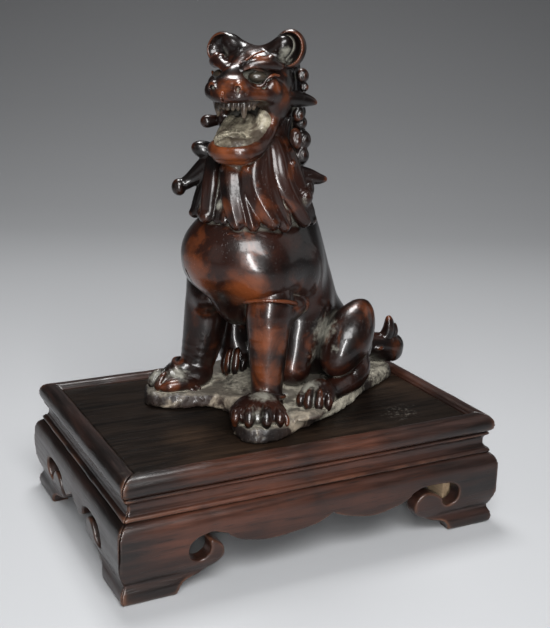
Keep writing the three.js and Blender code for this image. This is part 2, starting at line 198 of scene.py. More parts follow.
def curveThrough(points, steps):
    # a smooth curve through the given points, any number of columns
    points = np.array(points, float)
    ends = np.vstack([2 * points[0] - points[1], points, 2 * points[-1] - points[-2]])
    rows = []
    for i in range(len(points) - 1):
        a, b, c, d = ends[i:i + 4]
        for t in np.arange(steps) / steps:
            rows.append(0.5 * (2 * b + (c - a) * t + (2 * a - 5 * b + 4 * c - d) * t * t
                               + (3 * b - a - 3 * c + d) * t ** 3))
    return np.array(rows + [points[-1]])


def sampled(values, spot):
    # a grid's value between its points, from the eight corners round each spot
    base = np.clip(np.floor(spot).astype(int), 0, np.array(values.shape) - 2)
    share = np.clip(spot - base, 0, 1)
    total = 0
    for corner in range(8):
        step = np.array([corner & 1, corner >> 1 & 1, corner >> 2 & 1])
        weight = np.prod(np.where(step, share, 1 - share), axis=1)
        total = total + weight * values[tuple((base + step).T)]
    return total


farAway = 30.0      # mm, what a field holds where there is no clay


class Clay:
    # a distance field in mm, negative inside, that shapes are pressed onto or cut from
    def __init__(self, low, high, voxel, place=None):
        self.low = np.array(low, float)
        self.voxel = voxel * fineness
        size = np.ceil((np.array(high, float) - self.low) / self.voxel).astype(int) + 1
        self.field = np.full(size, farAway, np.float32)
        self.place = place if place is not None else Matrix.Identity(4)

    def window(self, low, high):
        first = np.floor((np.array(low) - self.low) / self.voxel).astype(int)
        last = np.ceil((np.array(high) - self.low) / self.voxel).astype(int) + 1
        first = np.maximum(first, 0)
        last = np.minimum(last, self.field.shape)
        if np.any(first >= last):
            return None, None
        part = tuple(slice(a, b) for a, b in zip(first, last))
        axes = [self.low[k] + self.voxel * np.arange(first[k], last[k]) for k in range(3)]
        return part, np.meshgrid(*axes, indexing="ij", sparse=True)

    def press(self, part, distance, blend, cut):
        if cut:
            self.field[part] = -smoothJoin(-self.field[part], distance, blend)
        else:
            self.field[part] = smoothJoin(self.field[part], distance, blend)

    def ball(self, center, radii, turn=(0, 0, 0), blend=0.0, cut=False):
        reach = max(radii) + blend + 3 * self.voxel
        part, grid = self.window(np.array(center) - reach, np.array(center) + reach)
        if part is None:
            return
        x, y, z = (g - c for g, c in zip(grid, center))
        t = turnMatrix(turn)
        local = [t[0, k] * x + t[1, k] * y + t[2, k] * z for k in range(3)]
        near = np.sqrt(sum((local[k] / radii[k]) ** 2 for k in range(3)))
        steep = np.sqrt(sum((local[k] / radii[k] ** 2) ** 2 for k in range(3))) + 1e-6
        self.press(part, near * (near - 1) / steep, blend, cut)

    def limb(self, start, startRadius, end, endRadius, blend=0.0, cut=False):
        start = np.array(start, float)
        end = np.array(end, float)
        reach = max(startRadius, endRadius) + blend + 3 * self.voxel
        part, grid = self.window(np.minimum(start, end) - reach, np.maximum(start, end) + reach)
        if part is None:
            return
        axis = end - start
        offset = [g - s for g, s in zip(grid, start)]
        along = sum(o * a for o, a in zip(offset, axis)) / (axis @ axis + 1e-9)
        along = np.clip(along, 0, 1)
        away = np.sqrt(sum((o - along * a) ** 2 for o, a in zip(offset, axis)))
        distance = away - (startRadius + (endRadius - startRadius) * along)
        self.press(part, distance, blend, cut)

    def strand(self, points, blend=0.0, cut=False, steps=5):
        # a rounded rope; every point is x, y, z and radius
        line = curveThrough(points, steps)
        for a, b in zip(line[:-1], line[1:]):
            self.limb(a[:3], max(a[3], 0.2), b[:3], max(b[3], 0.2), blend, cut)

    def roughen(self, scale, depth, seed):
        # gentle uneven surface, from a lattice of seeded random values
        shape = self.field.shape
        size = [int(n * self.voxel / scale) + 3 for n in shape]
        lattice = np.random.default_rng(seed).uniform(-1, 1, size)
        spots = [np.arange(n) * self.voxel / scale for n in shape]
        for axis, spot in enumerate(spots):
            base = np.floor(spot).astype(int)
            share = spot - base
            share = share * share * (3 - 2 * share)
            form = [1, 1, 1]
            form[axis] = -1
            share = share.reshape(form)
            lattice = (np.take(lattice, base, axis) * (1 - share)
                       + np.take(lattice, base + 1, axis) * share)
        self.field += (depth * lattice).astype(np.float32)

    def value(self, points):
        # the field at any points given in the lion's or the stand's own millimetres
        inverse = np.array(self.place.inverted())
        local = points @ inverse[:3, :3].T + inverse[:3, 3]
        spot = (local - self.low) / self.voxel
        outside = np.any((spot < -0.5) | (spot > np.array(self.field.shape) - 0.5), axis=1)
        return np.where(outside, farAway, sampled(self.field, spot))

    def points(self):
        grid = openvdb.FloatGrid(farAway)
        grid.copyFromArray(np.ascontiguousarray(self.field, np.float32))
        corners, quads = grid.convertToQuads(isovalue=0.0)
        corners = corners * self.voxel + self.low
        place = np.array(self.place)
        return corners @ place[:3, :3].T + place[:3, 3], quads


def boxBlur(values, radius):
    for axis in range(3):
        margins = [(radius + 1, radius) if k == axis else (0, 0) for k in range(3)]
        padded = np.pad(values, margins, mode="edge")
        total = np.cumsum(padded, axis=axis)
        length = values.shape[axis]
        ahead = np.take(total, np.arange(length) + 2 * radius + 1, axis)
        behind = np.take(total, np.arange(length), axis)
        values = (ahead - behind) / (2 * radius + 1)
    return values


class Surroundings:
    # the share of solid round any point at several reaches: how buried or how proud it is
    def __init__(self, clays, low, high, step, reaches):
        self.low = np.array(low, float)
        self.step = step
        size = np.ceil((np.array(high) - self.low) / step).astype(int) + 1
        solid = np.zeros(size, np.float32)
        for clay in clays:
            place = np.array(clay.place)
            span = np.array(clay.field.shape) * clay.voxel
            ends = np.array([[clay.low[k] + span[k] * (i >> k & 1) for k in range(3)] for i in range(8)])
            ends = ends @ place[:3, :3].T + place[:3, 3]
            first = np.maximum(np.floor((ends.min(0) - self.low) / step).astype(int), 0)
            last = np.minimum(np.ceil((ends.max(0) - self.low) / step).astype(int) + 1, size)
            if np.any(first >= last):
                continue
            axes = [self.low[k] + step * np.arange(first[k], last[k]) for k in range(3)]
            grid = np.stack(np.meshgrid(*axes, indexing="ij"), -1).reshape(-1, 3)
            filled = np.clip(0.5 - clay.value(grid) / step, 0, 1)
            part = tuple(slice(a, b) for a, b in zip(first, last))
            solid[part] = np.maximum(solid[part], filled.reshape(last - first))
        self.shares = [boxBlur(boxBlur(solid, r), r) for r in reaches]

    def at(self, points):
        spot = np.clip((points - self.low) / self.step, 0, np.array(self.shares[0].shape) - 1.001)
        return [sampled(values, spot) for values in self.shares]


def spotMask(corners, spots):
    # soft round patches, each x, y, z, reach and strength
    mask = np.zeros(len(corners))
    for x, y, z, reach, strength in spots:
        away = np.sqrt(((corners - (x, y, z)) ** 2).sum(1)) / reach
        mask = np.maximum(mask, strength * np.clip(1.25 - away, 0, 1) ** 1.2)
    return mask


def makePiece(name, clay, toWorld, body, replaced, surroundings, material, spots):
    corners, quads = clay.points()
    masks = surroundings.at(corners) + [spotMask(corners, spots[kind]) for kind in ("bloom", "rub")]
    world = (corners @ np.array(toWorld)[:3, :3].T + np.array(toWorld)[:3, 3]) * mm
    a, b, c = world[quads[:, 0]], world[quads[:, 1]], world[quads[:, 2]]
    if np.sum(np.cross(a, b) * c) < 0:
        quads = quads[:, ::-1]
    mesh = bpy.data.meshes.new(name)
    mesh.vertices.add(len(world))
    mesh.vertices.foreach_set("co", world.astype(np.float32).ravel())
    mesh.loops.add(len(quads) * 4)
    mesh.loops.foreach_set("vertex_index", quads.astype(np.int32).ravel())
    mesh.polygons.add(len(quads))
    mesh.polygons.foreach_set("loop_start", np.arange(0, len(quads) * 4, 4, dtype=np.int32))
    mesh.polygons.foreach_set("use_smooth", np.ones(len(quads), bool))
    mesh.update(calc_edges=True)
    mesh.validate()
    for label, values in zip(("crease", "hollow", "shelter", "bloom", "rub"), masks):
        layer = mesh.attributes.new(label, "FLOAT", "POINT")
        layer.data.foreach_set("value", np.asarray(values, np.float32))
    mesh.materials.append(material)
    piece = bpy.data.objects.new(name, mesh)
    bpy.context.scene.collection.objects.link(piece)
    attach(piece, body)
    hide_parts(*replaced)


def newGroup(name, inputs, outputs):
    # inputs give each label its first value; outputs give each label its kind
    group = bpy.data.node_groups.new(name, "ShaderNodeTree")
    for label, value in inputs.items():
        kind = "Vector" if value is None else "Color" if isinstance(value, tuple) else "Float"
        socket = group.interface.new_socket(label, in_out="INPUT", socket_type="NodeSocket" + kind)
        if value is not None:
            socket.default_value = value
    for label, kind in outputs.items():
        group.interface.new_socket(label, in_out="OUTPUT", socket_type="NodeSocket" + kind)
    return group, group.nodes.new("NodeGroupInput"), group.nodes.new("NodeGroupOutput")


def feed(tree, value, socket):
    # a number or a colour is set on the socket, an output is wired to it
    if isinstance(value, (int, float)):
        socket.default_value = value
    elif isinstance(value, tuple):
        socket.default_value = (*value, 1)
    else:
        wire(tree, value, socket)


def noiseNode(tree, vector, scale, detail, rough, distortion=0.0):
    noise = tree.nodes.new("ShaderNodeTexNoise")
    labels = ("Vector", "Scale", "Detail", "Roughness", "Distortion")
    for label, value in zip(labels, (vector, scale, detail, rough, distortion)):
        feed(tree, value, noise.inputs[label])
    return noise.outputs["Fac"]


def rangeNode(tree, value, low, high, toLow=0.0, toHigh=1.0):
    node = tree.nodes.new("ShaderNodeMapRange")
    node.interpolation_type = "SMOOTHSTEP"
    labels = ("Value", "From Min", "From Max", "To Min", "To Max")
    for label, setting in zip(labels, (value, low, high, toLow, toHigh)):
        feed(tree, setting, node.inputs[label])
    return node.outputs[0]


def mathNode(tree, operation, a, b, clamp=False):
    node = tree.nodes.new("ShaderNodeMath")
    node.operation = operation
    node.use_clamp = clamp
    feed(tree, a, node.inputs[0])
    feed(tree, b, node.inputs[1])
    return node.outputs[0]


def times(tree, a, b):
    return mathNode(tree, "MULTIPLY", a, b)


def plus(tree, a, b):
    return mathNode(tree, "ADD", a, b)


def centred(tree, noise):
    return mathNode(tree, "SUBTRACT", noise, 0.5)


def mixColor(tree, share, a, b):
    node = tree.nodes.new("ShaderNodeMix")
    node.data_type = "RGBA"
    for index, value in ((0, share), (6, a), (7, b)):
        feed(tree, value, node.inputs[index])
    return node.outputs[2]


def maskValue(tree, label):
    node = tree.nodes.new("ShaderNodeAttribute")
    node.attribute_name = label
    return node.outputs["Fac"]


weather = {                         # noise scales per metre, and where each effect starts and is full
    "patchScale": 130.0,
    "speckleScale": 420.0,
    "smudgeScale": 70.0,
    "shelter": (0.56, 0.74),
    "bloom": (0.16, 0.72),
    "bloomReach": (0.0, 0.25),
    "rub": (0.1, 1.15),
    "rubReach": (0.0, 0.35),
    "facingUp": (0.45, 0.9),
    "speckleStrength": 1.1,
    "shelterLoss": 0.7,             # share of the dust kept out of deep folds
}


def makeRecessGroup(values):
    # dust that settles in hollows, polish that comes off on edges, and how buried each spot is, which the
    # finishes use to paint shade into deep folds
    group, inside, out = newGroup(
        "recessAndEdge",
        {"Hollow start": 0.56, "Hollow full": 0.72, "Edge start": 0.46, "Edge full": 0.34,
         "Patchiness": 0.12, "Smudging": 1.7},
        dict.fromkeys(("Dust and shade", "Edge", "Sheltered", "Rubbed", "Facing up"), "Float"))
    place = group.nodes.new("ShaderNodeTexCoord").outputs["Object"]
    patches = centred(group, noiseNode(group, place, values["patchScale"], 5.0, 0.65))
    patches = times(group, patches, inside.outputs["Patchiness"])
    hollow = mathNode(group, "MAXIMUM", maskValue(group, "crease"), maskValue(group, "hollow"))
    hollow = plus(group, hollow, patches)
    sheltered = rangeNode(group, maskValue(group, "shelter"), *values["shelter"])
    bare = mathNode(group, "SUBTRACT", 1.0, times(group, sheltered, values["shelterLoss"]))
    # the hollow mask lays pale dust on most finishes; on the tongue its colour is dark, painted shade in
    # the pits and hollows
    dustAndShade = rangeNode(group, hollow, inside.outputs["Hollow start"], inside.outputs["Hollow full"])
    dustAndShade = times(group, dustAndShade, bare)
    speckle = centred(group, noiseNode(group, place, values["speckleScale"], 6.0, 0.7))
    bloom = times(group, plus(group, patches, speckle), values["speckleStrength"])
    bloom = rangeNode(group, plus(group, bloom, maskValue(group, "bloom")), *values["bloom"])
    bloom = times(group, bloom, rangeNode(group, maskValue(group, "bloom"), *values["bloomReach"]))
    smudge = centred(group, noiseNode(group, place, values["smudgeScale"], 5.0, 0.6, 0.8))
    rub = plus(group, maskValue(group, "rub"), times(group, smudge, inside.outputs["Smudging"]))
    near = rangeNode(group, maskValue(group, "rub"), *values["rubReach"])
    rub = times(group, rangeNode(group, rub, *values["rub"]), near)
    proud = plus(group, maskValue(group, "crease"), patches)
    edge = rangeNode(group, proud, inside.outputs["Edge full"], inside.outputs["Edge start"], 1.0, 0.0)
    facing = group.nodes.new("ShaderNodeSeparateXYZ")
    wire(group, group.nodes.new("ShaderNodeNewGeometry").outputs["Normal"], facing.inputs[0])
    wire(group, mathNode(group, "MAXIMUM", dustAndShade, bloom), out.inputs["Dust and shade"])
    wire(group, edge, out.inputs["Edge"])
    wire(group, sheltered, out.inputs["Sheltered"])
    wire(group, rub, out.inputs["Rubbed"])
    wire(group, rangeNode(group, facing.outputs["Z"], *values["facingUp"]), out.inputs["Facing up"])
    return group


def makePatinaGroup():
    # cloudy colour of a rubbed, lacquered patina, and its fine pits
    group, inside, out = newGroup(
        "patinaClouds",
        {"Dark": (0.018, 0.008, 0.006, 1), "Red": (0.085, 0.020, 0.009, 1),
         "Rubbed": (0.34, 0.105, 0.032, 1), "Rubbed share": 0.5, "Cloud scale": 30.0},
        {"Color": "Color", "Height": "Float"})
    place = group.nodes.new("ShaderNodeTexCoord").outputs["Object"]
    scale = inside.outputs["Cloud scale"]
    clouds = rangeNode(group, noiseNode(group, place, scale, 4.0, 0.55, 0.6), 0.38, 0.66)
    body = mixColor(group, clouds, inside.outputs["Dark"], inside.outputs["Red"])
    streaks = noiseNode(group, place, times(group, scale, 2.1), 5.0, 0.6, 0.9)
    spots = rangeNode(group, plus(group, streaks, times(group, clouds, 0.10)), 0.60, 0.78)
    spots = times(group, spots, inside.outputs["Rubbed share"])
    pits = rangeNode(group, noiseNode(group, place, 900.0, 2.0, 0.5), 0.62, 0.74, 0.0, -1.0)
    swell = noiseNode(group, place, 160.0, 3.0, 0.5)
    wire(group, mixColor(group, spots, body, inside.outputs["Rubbed"]), out.inputs["Color"])
    wire(group, plus(group, pits, swell), out.inputs["Height"])
    return group


def stretched(tree, vector, factors):
    node = tree.nodes.new("ShaderNodeVectorMath")
    node.operation = "MULTIPLY"
    node.inputs[1].default_value = factors
    wire(tree, vector, node.inputs[0])
    return node.outputs[0]


grainStretch = {        # noise per metre along and across the grain
    "grain": (9.0, 150.0, 150.0),
    "figure": (7.0, 30.0, 30.0),
    "pores": (60.0, 900.0, 900.0),
}


def makeGrainGroup(values):
    # straight-grained hardwood, the grain running along X
    group, inside, out = newGroup(
        "hardwoodGrain",
        {"Vector": None, "Contrast": 1.0,
         "Dark": (0.02, 0.011, 0.008, 1), "Warm": (0.10, 0.036, 0.018, 1)},
        {"Color": "Color", "Grain": "Float", "Pores": "Float"})
    place = inside.outputs["Vector"]
    grain = noiseNode(group, stretched(group, place, values["grain"]), 2.2, 6.0, 0.62, 0.35)
    figure = noiseNode(group, stretched(group, place, values["figure"]), 1.4, 3.0, 0.5, 0.8)
    fine = noiseNode(group, stretched(group, place, values["pores"]), 1.6, 2.0, 0.5)
    tone = rangeNode(group, plus(group, times(group, grain, 0.5), times(group, figure, 0.5)), 0.36, 0.64)
    tone = mathNode(group, "MULTIPLY", tone, inside.outputs["Contrast"], clamp=True)
    color = mixColor(group, tone, inside.outputs["Dark"], inside.outputs["Warm"])
    wire(group, color, out.inputs["Color"])
    wire(group, grain, out.inputs["Grain"])
    wire(group, rangeNode(group, fine, 0.60, 0.72), out.inputs["Pores"])
    return group


groups = {}


def placeGroup(tree, name, values):
    node = tree.nodes.new("ShaderNodeGroup")
    node.node_tree = groups[name]
    for label, value in values.items():
        if isinstance(value, tuple):
            node.inputs[label].default_value = (*value, 1) if len(value) == 3 else value
        else:
            node.inputs[label].default_value = value
    return node


def placeRecess(tree, values, **others):
    return placeGroup(tree, "recessAndEdge", {
        "Hollow start": values["hollowStart"], "Hollow full": values["hollowFull"],
        "Edge start": values["edgeStart"], "Edge full": values["edgeFull"], **others})


def setGloss(tree, shader, values, height):
    # what stays the same all over a finish, and its fine relief
    shader.inputs["Coat Roughness"].default_value = values["coatRoughness"]
    shader.inputs["Specular IOR Level"].default_value = values["specular"]
    bump = tree.nodes.new("ShaderNodeBump")
    bump.inputs["Distance"].default_value = values["reliefDepth"]
    bump.inputs["Strength"].default_value = values["bump"]
    wire(tree, height, bump.inputs["Height"])
    wire(tree, bump.outputs[0], shader.inputs["Normal"])


def bronzeFinish(name, values):
    material, tree, shader = newMaterial(name)
    patina = placeGroup(tree, "patinaClouds", {
        "Dark": values["dark"], "Red": values["red"], "Rubbed": values["rubbed"],
        "Rubbed share": values["rubbedShare"], "Cloud scale": values["cloudScale"]})
    recess = placeRecess(tree, values, Patchiness=values["patchiness"])
    edge = times(tree, recess.outputs["Edge"], values["edgeShare"])
    handled = times(tree, recess.outputs["Rubbed"], values["handledShare"])
    settled = times(tree, recess.outputs["Facing up"], values["settledShare"])
    # mixes in the hollow colour: pale dust on most finishes, painted shade on the tongue
    dustAndShade = times(tree, mathNode(tree, "MAXIMUM", recess.outputs["Dust and shade"], settled), values["dustAndShadeShare"])
    polished = mathNode(tree, "MAXIMUM", edge, handled)
    worn = mixColor(tree, polished, patina.outputs["Color"], values["rubbed"])
    # buried spots are darkened toward the dark patina colour: painted shade in folds, eye sockets, the
    # mouth and under the belly
    sheltered = recess.outputs["Sheltered"]
    deep = mixColor(tree, times(tree, sheltered, values["shelterShadeShare"]), worn, values["dark"])
    wire(tree, mixColor(tree, dustAndShade, deep, values["dustAndShade"]), shader.inputs["Base Color"])
    gloss = plus(tree, times(tree, sheltered, values["shelterDulling"]), values["roughness"])
    rough = tree.nodes.new("ShaderNodeMix")
    wire(tree, dustAndShade, rough.inputs[0])
    wire(tree, gloss, rough.inputs[2])
    rough.inputs[3].default_value = values["dustRoughness"]
    wire(tree, rough.outputs[0], shader.inputs["Roughness"])
    shell = mathNode(tree, "SUBTRACT", 1.0, dustAndShade, clamp=True)
    wire(tree, times(tree, shell, values["coat"]), shader.inputs["Coat Weight"])
    wire(tree, times(tree, shell, values["metal"]), shader.inputs["Metallic"])
    setGloss(tree, shader, values, patina.outputs["Height"])
    return material


def woodFinish(name, values, along):
    material, tree, shader = newMaterial(name)
    place = tree.nodes.new("ShaderNodeTexCoord").outputs["Object"]
    turn = tree.nodes.new("ShaderNodeMapping")
    turn.inputs["Rotation"].default_value = (0, 0, 0 if along == "X" else math.pi / 2)
    wire(tree, place, turn.inputs["Vector"])
    wood = placeGroup(tree, "hardwoodGrain", {
        "Dark": values["dark"], "Warm": values["warm"], "Contrast": values["contrast"]})
    wire(tree, turn.outputs[0], wood.inputs["Vector"])
    grain, pores = wood.outputs["Grain"], wood.outputs["Pores"]
    color = wood.outputs["Color"]
    if values["worn"]:
        recess = placeRecess(tree, values, Smudging=0.6)
        patches = rangeNode(tree, noiseNode(tree, place, 34.0, 4.0, 0.6, 0.5), 0.40, 0.62)
        edge = times(tree, times(tree, recess.outputs["Edge"], patches), values["edgeShare"])
        streaks = rangeNode(tree, grain, 0.30, 0.62, 0.35, 1.0)
        handled = times(tree, times(tree, recess.outputs["Rubbed"], streaks), values["handledShare"])
        dustAndShade = times(tree, recess.outputs["Dust and shade"], values["dustAndShadeShare"])
        for share, tone in ((edge, "rubbed"), (handled, "handled"), (dustAndShade, "dustAndShade")):
            color = mixColor(tree, share, color, values[tone])
    color = mixColor(tree, times(tree, pores, values["poreShare"]), color, values["dark"])
    wire(tree, color, shader.inputs["Base Color"])
    sheen = rangeNode(tree, grain, 0.3, 0.7, values["roughness"] - 0.06, values["roughness"] + 0.08)
    wire(tree, sheen, shader.inputs["Roughness"])
    shader.inputs["Coat Weight"].default_value = values["coat"]
    setGloss(tree, shader, values, mathNode(tree, "SUBTRACT", grain, pores))
    return material


bronzeValues = {
    "dark": (0.0026, 0.0016, 0.0014),
    "red": (0.0150, 0.0048, 0.0030),
    "rubbed": (0.21, 0.053, 0.014),
    "rubbedShare": 0.22,
    "cloudScale": 30.0,
    "handledShare": 0.54,
    "settledShare": 0.0,
    "patchiness": 0.12,
    "dustAndShade": (0.22, 0.215, 0.18),
    "hollowStart": 0.64, "hollowFull": 0.84, "dustAndShadeShare": 0.72,
    "edgeStart": 0.40, "edgeFull": 0.22, "edgeShare": 0.30,
    # shelterShadeShare is painted shade: how far buried spots darken toward the dark colour
    "shelterShadeShare": 0.75, "shelterDulling": 0.12,
    "roughness": 0.29, "dustRoughness": 0.9,
    "coat": 0.34, "coatRoughness": 0.12, "specular": 0.26,
    "metal": 0.1,
    "bump": 0.35, "reliefDepth": 0.0004,    # strength, and metres
}

slabValues = {
    **bronzeValues,
    "dark": (0.008, 0.006, 0.0055),
    "red": (0.022, 0.014, 0.011),
    "rubbed": (0.25, 0.21, 0.16),
    "rubbedShare": 0.8,
    "settledShare": 0.22,
    "patchiness": 0.45,
    "dustAndShade": (0.27, 0.25, 0.20),
    "hollowStart": 0.52, "hollowFull": 0.70, "dustAndShadeShare": 0.85,
    "edgeShare": 0.1,
    "roughness": 0.5, "coat": 0.12, "metal": 0.0, "bump": 0.8,
}

tongueValues = {
    **bronzeValues,
    "dark": (0.035, 0.026, 0.018),
    "red": (0.23, 0.205, 0.15),
    "rubbed": (0.43, 0.395, 0.31),
    "rubbedShare": 0.9,
    "cloudScale": 95.0,
    "handledShare": 0.0,
    # the tongue's hollow colour is dark brown, not dust: painted shade in its pits and hollows
    "dustAndShade": (0.035, 0.022, 0.014),
    "hollowStart": 0.62, "hollowFull": 0.76, "dustAndShadeShare": 0.9,
    "edgeShare": 0.3,
    "roughness": 0.55, "coat": 0.1, "metal": 0.0, "bump": 0.9,
}

toothValues = {
    **bronzeValues,
    "dark": (0.012, 0.008, 0.006),
    "red": (0.030, 0.019, 0.013),
    "rubbed": (0.15, 0.115, 0.078),
    "rubbedShare": 0.35,
    "cloudScale": 120.0,
    "handledShare": 0.12,
    "hollowStart": 0.60, "hollowFull": 0.78, "dustAndShadeShare": 0.22,
    "edgeShare": 0.32,
    "roughness": 0.36, "coat": 0.3, "bump": 0.4,
}

eyeValues = {
    **bronzeValues,
    "dark": (0.012, 0.011, 0.008),
    "red": (0.030, 0.024, 0.017),
    "rubbedShare": 0.1, "edgeShare": 0.1,
    "handledShare": 0.2,
    "dustAndShadeShare": 0.15,
    "roughness": 0.34, "coat": 0.3, "coatRoughness": 0.2, "bump": 0.1,
}

woodValues = {
    "dark": (0.0040, 0.0028, 0.0025),
    "warm": (0.021, 0.0090, 0.0065),
    "rubbed": (0.13, 0.056, 0.030),
    "handled": (0.080, 0.025, 0.0125),
    "handledShare": 0.65,
    "dustAndShade": (0.17, 0.14, 0.115),
    "contrast": 0.9,
    "worn": True,           # whether dust and rubbed edges show on it
    "hollowStart": 0.60, "hollowFull": 0.82, "dustAndShadeShare": 0.3,
    "edgeStart": 0.46, "edgeFull": 0.30, "edgeShare": 0.42,
    "poreShare": 0.6,
    "roughness": 0.34, "coat": 0.2, "coatRoughness": 0.22, "specular": 0.34,
    "bump": 0.3, "reliefDepth": 0.0003,
}

panelValues = {
    **woodValues,
    "dark": (0.0022, 0.0017, 0.0014),
    "warm": (0.0100, 0.0062, 0.0042),
    "handled": (0.040, 0.0230, 0.0135),
    "handledShare": 0.65,
    "contrast": 0.8,
    "edgeShare": 0.3,
    "dustAndShade": (0.30, 0.27, 0.23),
    "dustAndShadeShare": 0.45,
    "roughness": 0.46, "coat": 0.0, "bump": 0.4, "specular": 0.07,
}

rawWoodValues = {
    **woodValues,
    "dark": (0.22, 0.15, 0.09),
    "warm": (0.45, 0.33, 0.21),
    "worn": False,
    "roughness": 0.8, "coat": 0.0, "bump": 0.6,
}


def makeFinishes():
    groups["recessAndEdge"] = makeRecessGroup(weather)
    groups["patinaClouds"] = makePatinaGroup()
    groups["hardwoodGrain"] = makeGrainGroup(grainStretch)
    made = {
        "bronze": bronzeFinish("darkBronze", bronzeValues),
        "slab": bronzeFinish("dustyBronze", slabValues),
        "tongue": bronzeFinish("crustedTongue", tongueValues),
        "tooth": bronzeFinish("dustyTooth", toothValues),
        "eye": bronzeFinish("polishedEye", eyeValues),
        "woodX": woodFinish("rosewoodLong", woodValues, "X"),
        "woodY": woodFinish("rosewoodShort", woodValues, "Y"),
        "panel": woodFinish("darkPanel", panelValues, "X"),
        "raw": woodFinish("rawWood", rawWoodValues, "Y"),
    }
    print("finishes mixed")
    return made


standSpots = {     # stand's own mm: x, y, z, reach, strength
    "bloom": [(-92, -60, 57, 14, 0.25), (60, -40, 57, 20, 0.2), (0, 66, 57, 60, 0.25)],
    "rub": [(-40, -68, 54, 48, 0.9), (15, -68, 55, 42, 0.8), (-70, -70, 33, 30, 0.75),
            (-20, -70, 33, 36, 0.6), (40, -70, 34, 40, 0.45), (90, 0, 55, 45, 0.55),
            (0, 68, 56, 70, 0.7), (-50, -28, 57, 20, 0.8)],
}

standValues = {             # mm
    "wobble": 0.16,         # hand-planed unevenness
    "wobbleLength": 9.0,
    "voxel": 0.5,
    "mitreGap": 0.12,
    "mitreRounding": 0.35,
    "sawnRounding": 1.1,    # along the sawn edges of the aprons
    "margin": 1.5,          # room left round each length
    "ends": 3.5,
}


def polygonDistance(x, y, corners):
    # signed distance from grid points to a closed outline, negative inside
    corners = np.array(corners, float)
    best = np.full(np.broadcast(x, y).shape, 1e9)
    inside = np.zeros(best.shape, bool)
    for (ax, ay), (bx, by) in zip(corners, np.roll(corners, -1, axis=0)):
        ex, ey = bx - ax, by - ay
        t = np.clip(((x - ax) * ex + (y - ay) * ey) / (ex * ex + ey * ey + 1e-12), 0, 1)
        best = np.minimum(best, (x - ax - t * ex) ** 2 + (y - ay - t * ey) ** 2)
        if ay != by:
            crosses = ((ay <= y) & (by > y)) | ((by <= y) & (ay > y))
            inside ^= crosses & (x < ax + (y - ay) / (by - ay) * ex)
    return np.where(inside, -np.sqrt(best), np.sqrt(best))


def smoothCut(a, b, blend):
    return -smoothJoin(-a, -b, blend)


def standSizes():
    def measured(node):
        low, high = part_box(node)
        return np.array(low) / mm, np.array(high) / mm

    rail = measured("frame_rail_front")
    waist = measured("waist_moulding_front")
    apron = measured("apron_front")
    panel = measured("top_panel")
    side = measured("frame_rail_left")
    return {
        "length": round(rail[1][0] - rail[0][0], 0),
        "depth": round(side[1][1] - side[0][1], 0),
        "rim": rail[1][2],
        "railBottom": rail[0][2],
        "railWidth": rail[1][1] - rail[0][1],
        "waistTop": waist[1][2],
        "waistBottom": waist[0][2],
        "apronTop": apron[1][2],
        "panelLow": panel[0],
        "panelHigh": panel[1],
    }


def mouldedSide(section, length, depth, turn, seed, outline=None):
    # a length of moulding along the front edge, mitred at both ends, then turned to its side
    values = standValues
    margin, ends = values["margin"], length / 2 + values["ends"]
    section = np.array([(inset - depth / 2, z) for inset, z in section])
    low = (-ends, section[:, 0].min() - margin, section[:, 1].min() - margin)
    high = (ends, section[:, 0].max() + margin, section[:, 1].max() + margin)
    clay = Clay(low, high, values["voxel"], Matrix.Rotation(math.radians(turn), 4, "Z"))
    x, y, z = clay.window(low, high)[1]
    shape = np.broadcast_to(polygonDistance(y[0], z[0], section)[None], clay.field.shape)
    if outline is not None:
        face = polygonDistance(x[:, 0], z[0], outline)[:, None, :]
        shape = smoothCut(shape, face, values["sawnRounding"])
    mitre = (np.abs(x) - length / 2 + (depth / 2 + y)) / math.sqrt(2) + values["mitreGap"]
    clay.field = smoothCut(shape, mitre + 0 * z, values["mitreRounding"]).astype(np.float32)
    clay.roughen(values["wobbleLength"], values["wobble"], seed)
    return clay


def railSection(s):
    outer = curveThrough([
        (3.4, s["railBottom"]), (1.2, s["railBottom"] + 0.6), (0.15, s["railBottom"] + 2.4),
        (0.1, s["railBottom"] + 4.6), (0.9, s["rim"] - 2.5), (2.9, s["rim"] - 0.7), (5.4, s["rim"] - 0.05),
        (7.6, s["rim"] - 0.15), (8.9, s["rim"] - 0.9),
    ], 5)
    inner = [(9.3, s["rim"] - 1.7), (s["railWidth"], s["rim"] - 2.1), (s["railWidth"], s["railBottom"])]
    return np.vstack([outer, inner])


def waistSection(s):
    outer = curveThrough([
        (2.6, s["waistTop"]), (1.9, s["waistTop"] - 0.6), (2.0, s["waistTop"] - 1.5),
        (3.0, s["waistTop"] - 2.1), (3.7, s["waistTop"] - 3.2), (4.0, s["waistTop"] - 4.8),
        (3.9, s["waistBottom"] + 4.4), (3.3, s["waistBottom"] + 3.3), (3.2, s["waistBottom"] + 2.6),
        (2.0, s["waistBottom"] + 2.2), (1.2, s["waistBottom"] + 1.3), (1.3, s["waistBottom"] + 0.3),
        (1.8, s["waistBottom"]),
    ], 4)
    return np.vstack([outer, [(11.5, s["waistBottom"]), (11.5, s["waistTop"])]])


def apronSection(s):
    top = s["apronTop"]
    outer = curveThrough([
        (2.2, top), (0.9, top - 0.35), (-1.1, top - 2.2), (-2.3, top - 5.2), (-2.6, top - 9.0),
        (-2.6, 22.0), (-2.0, 16.4), (-0.3, 11.6), (0.7, 9.4), (0.2, 7.6), (-0.9, 5.4), (-1.2, 3.2),
        (-0.9, 1.2), (0.2, 0.0),
    ], 5)
    inner = [(inset + 8.4, z) for inset, z in outer[::-1]]
    return np.vstack([outer, inner])


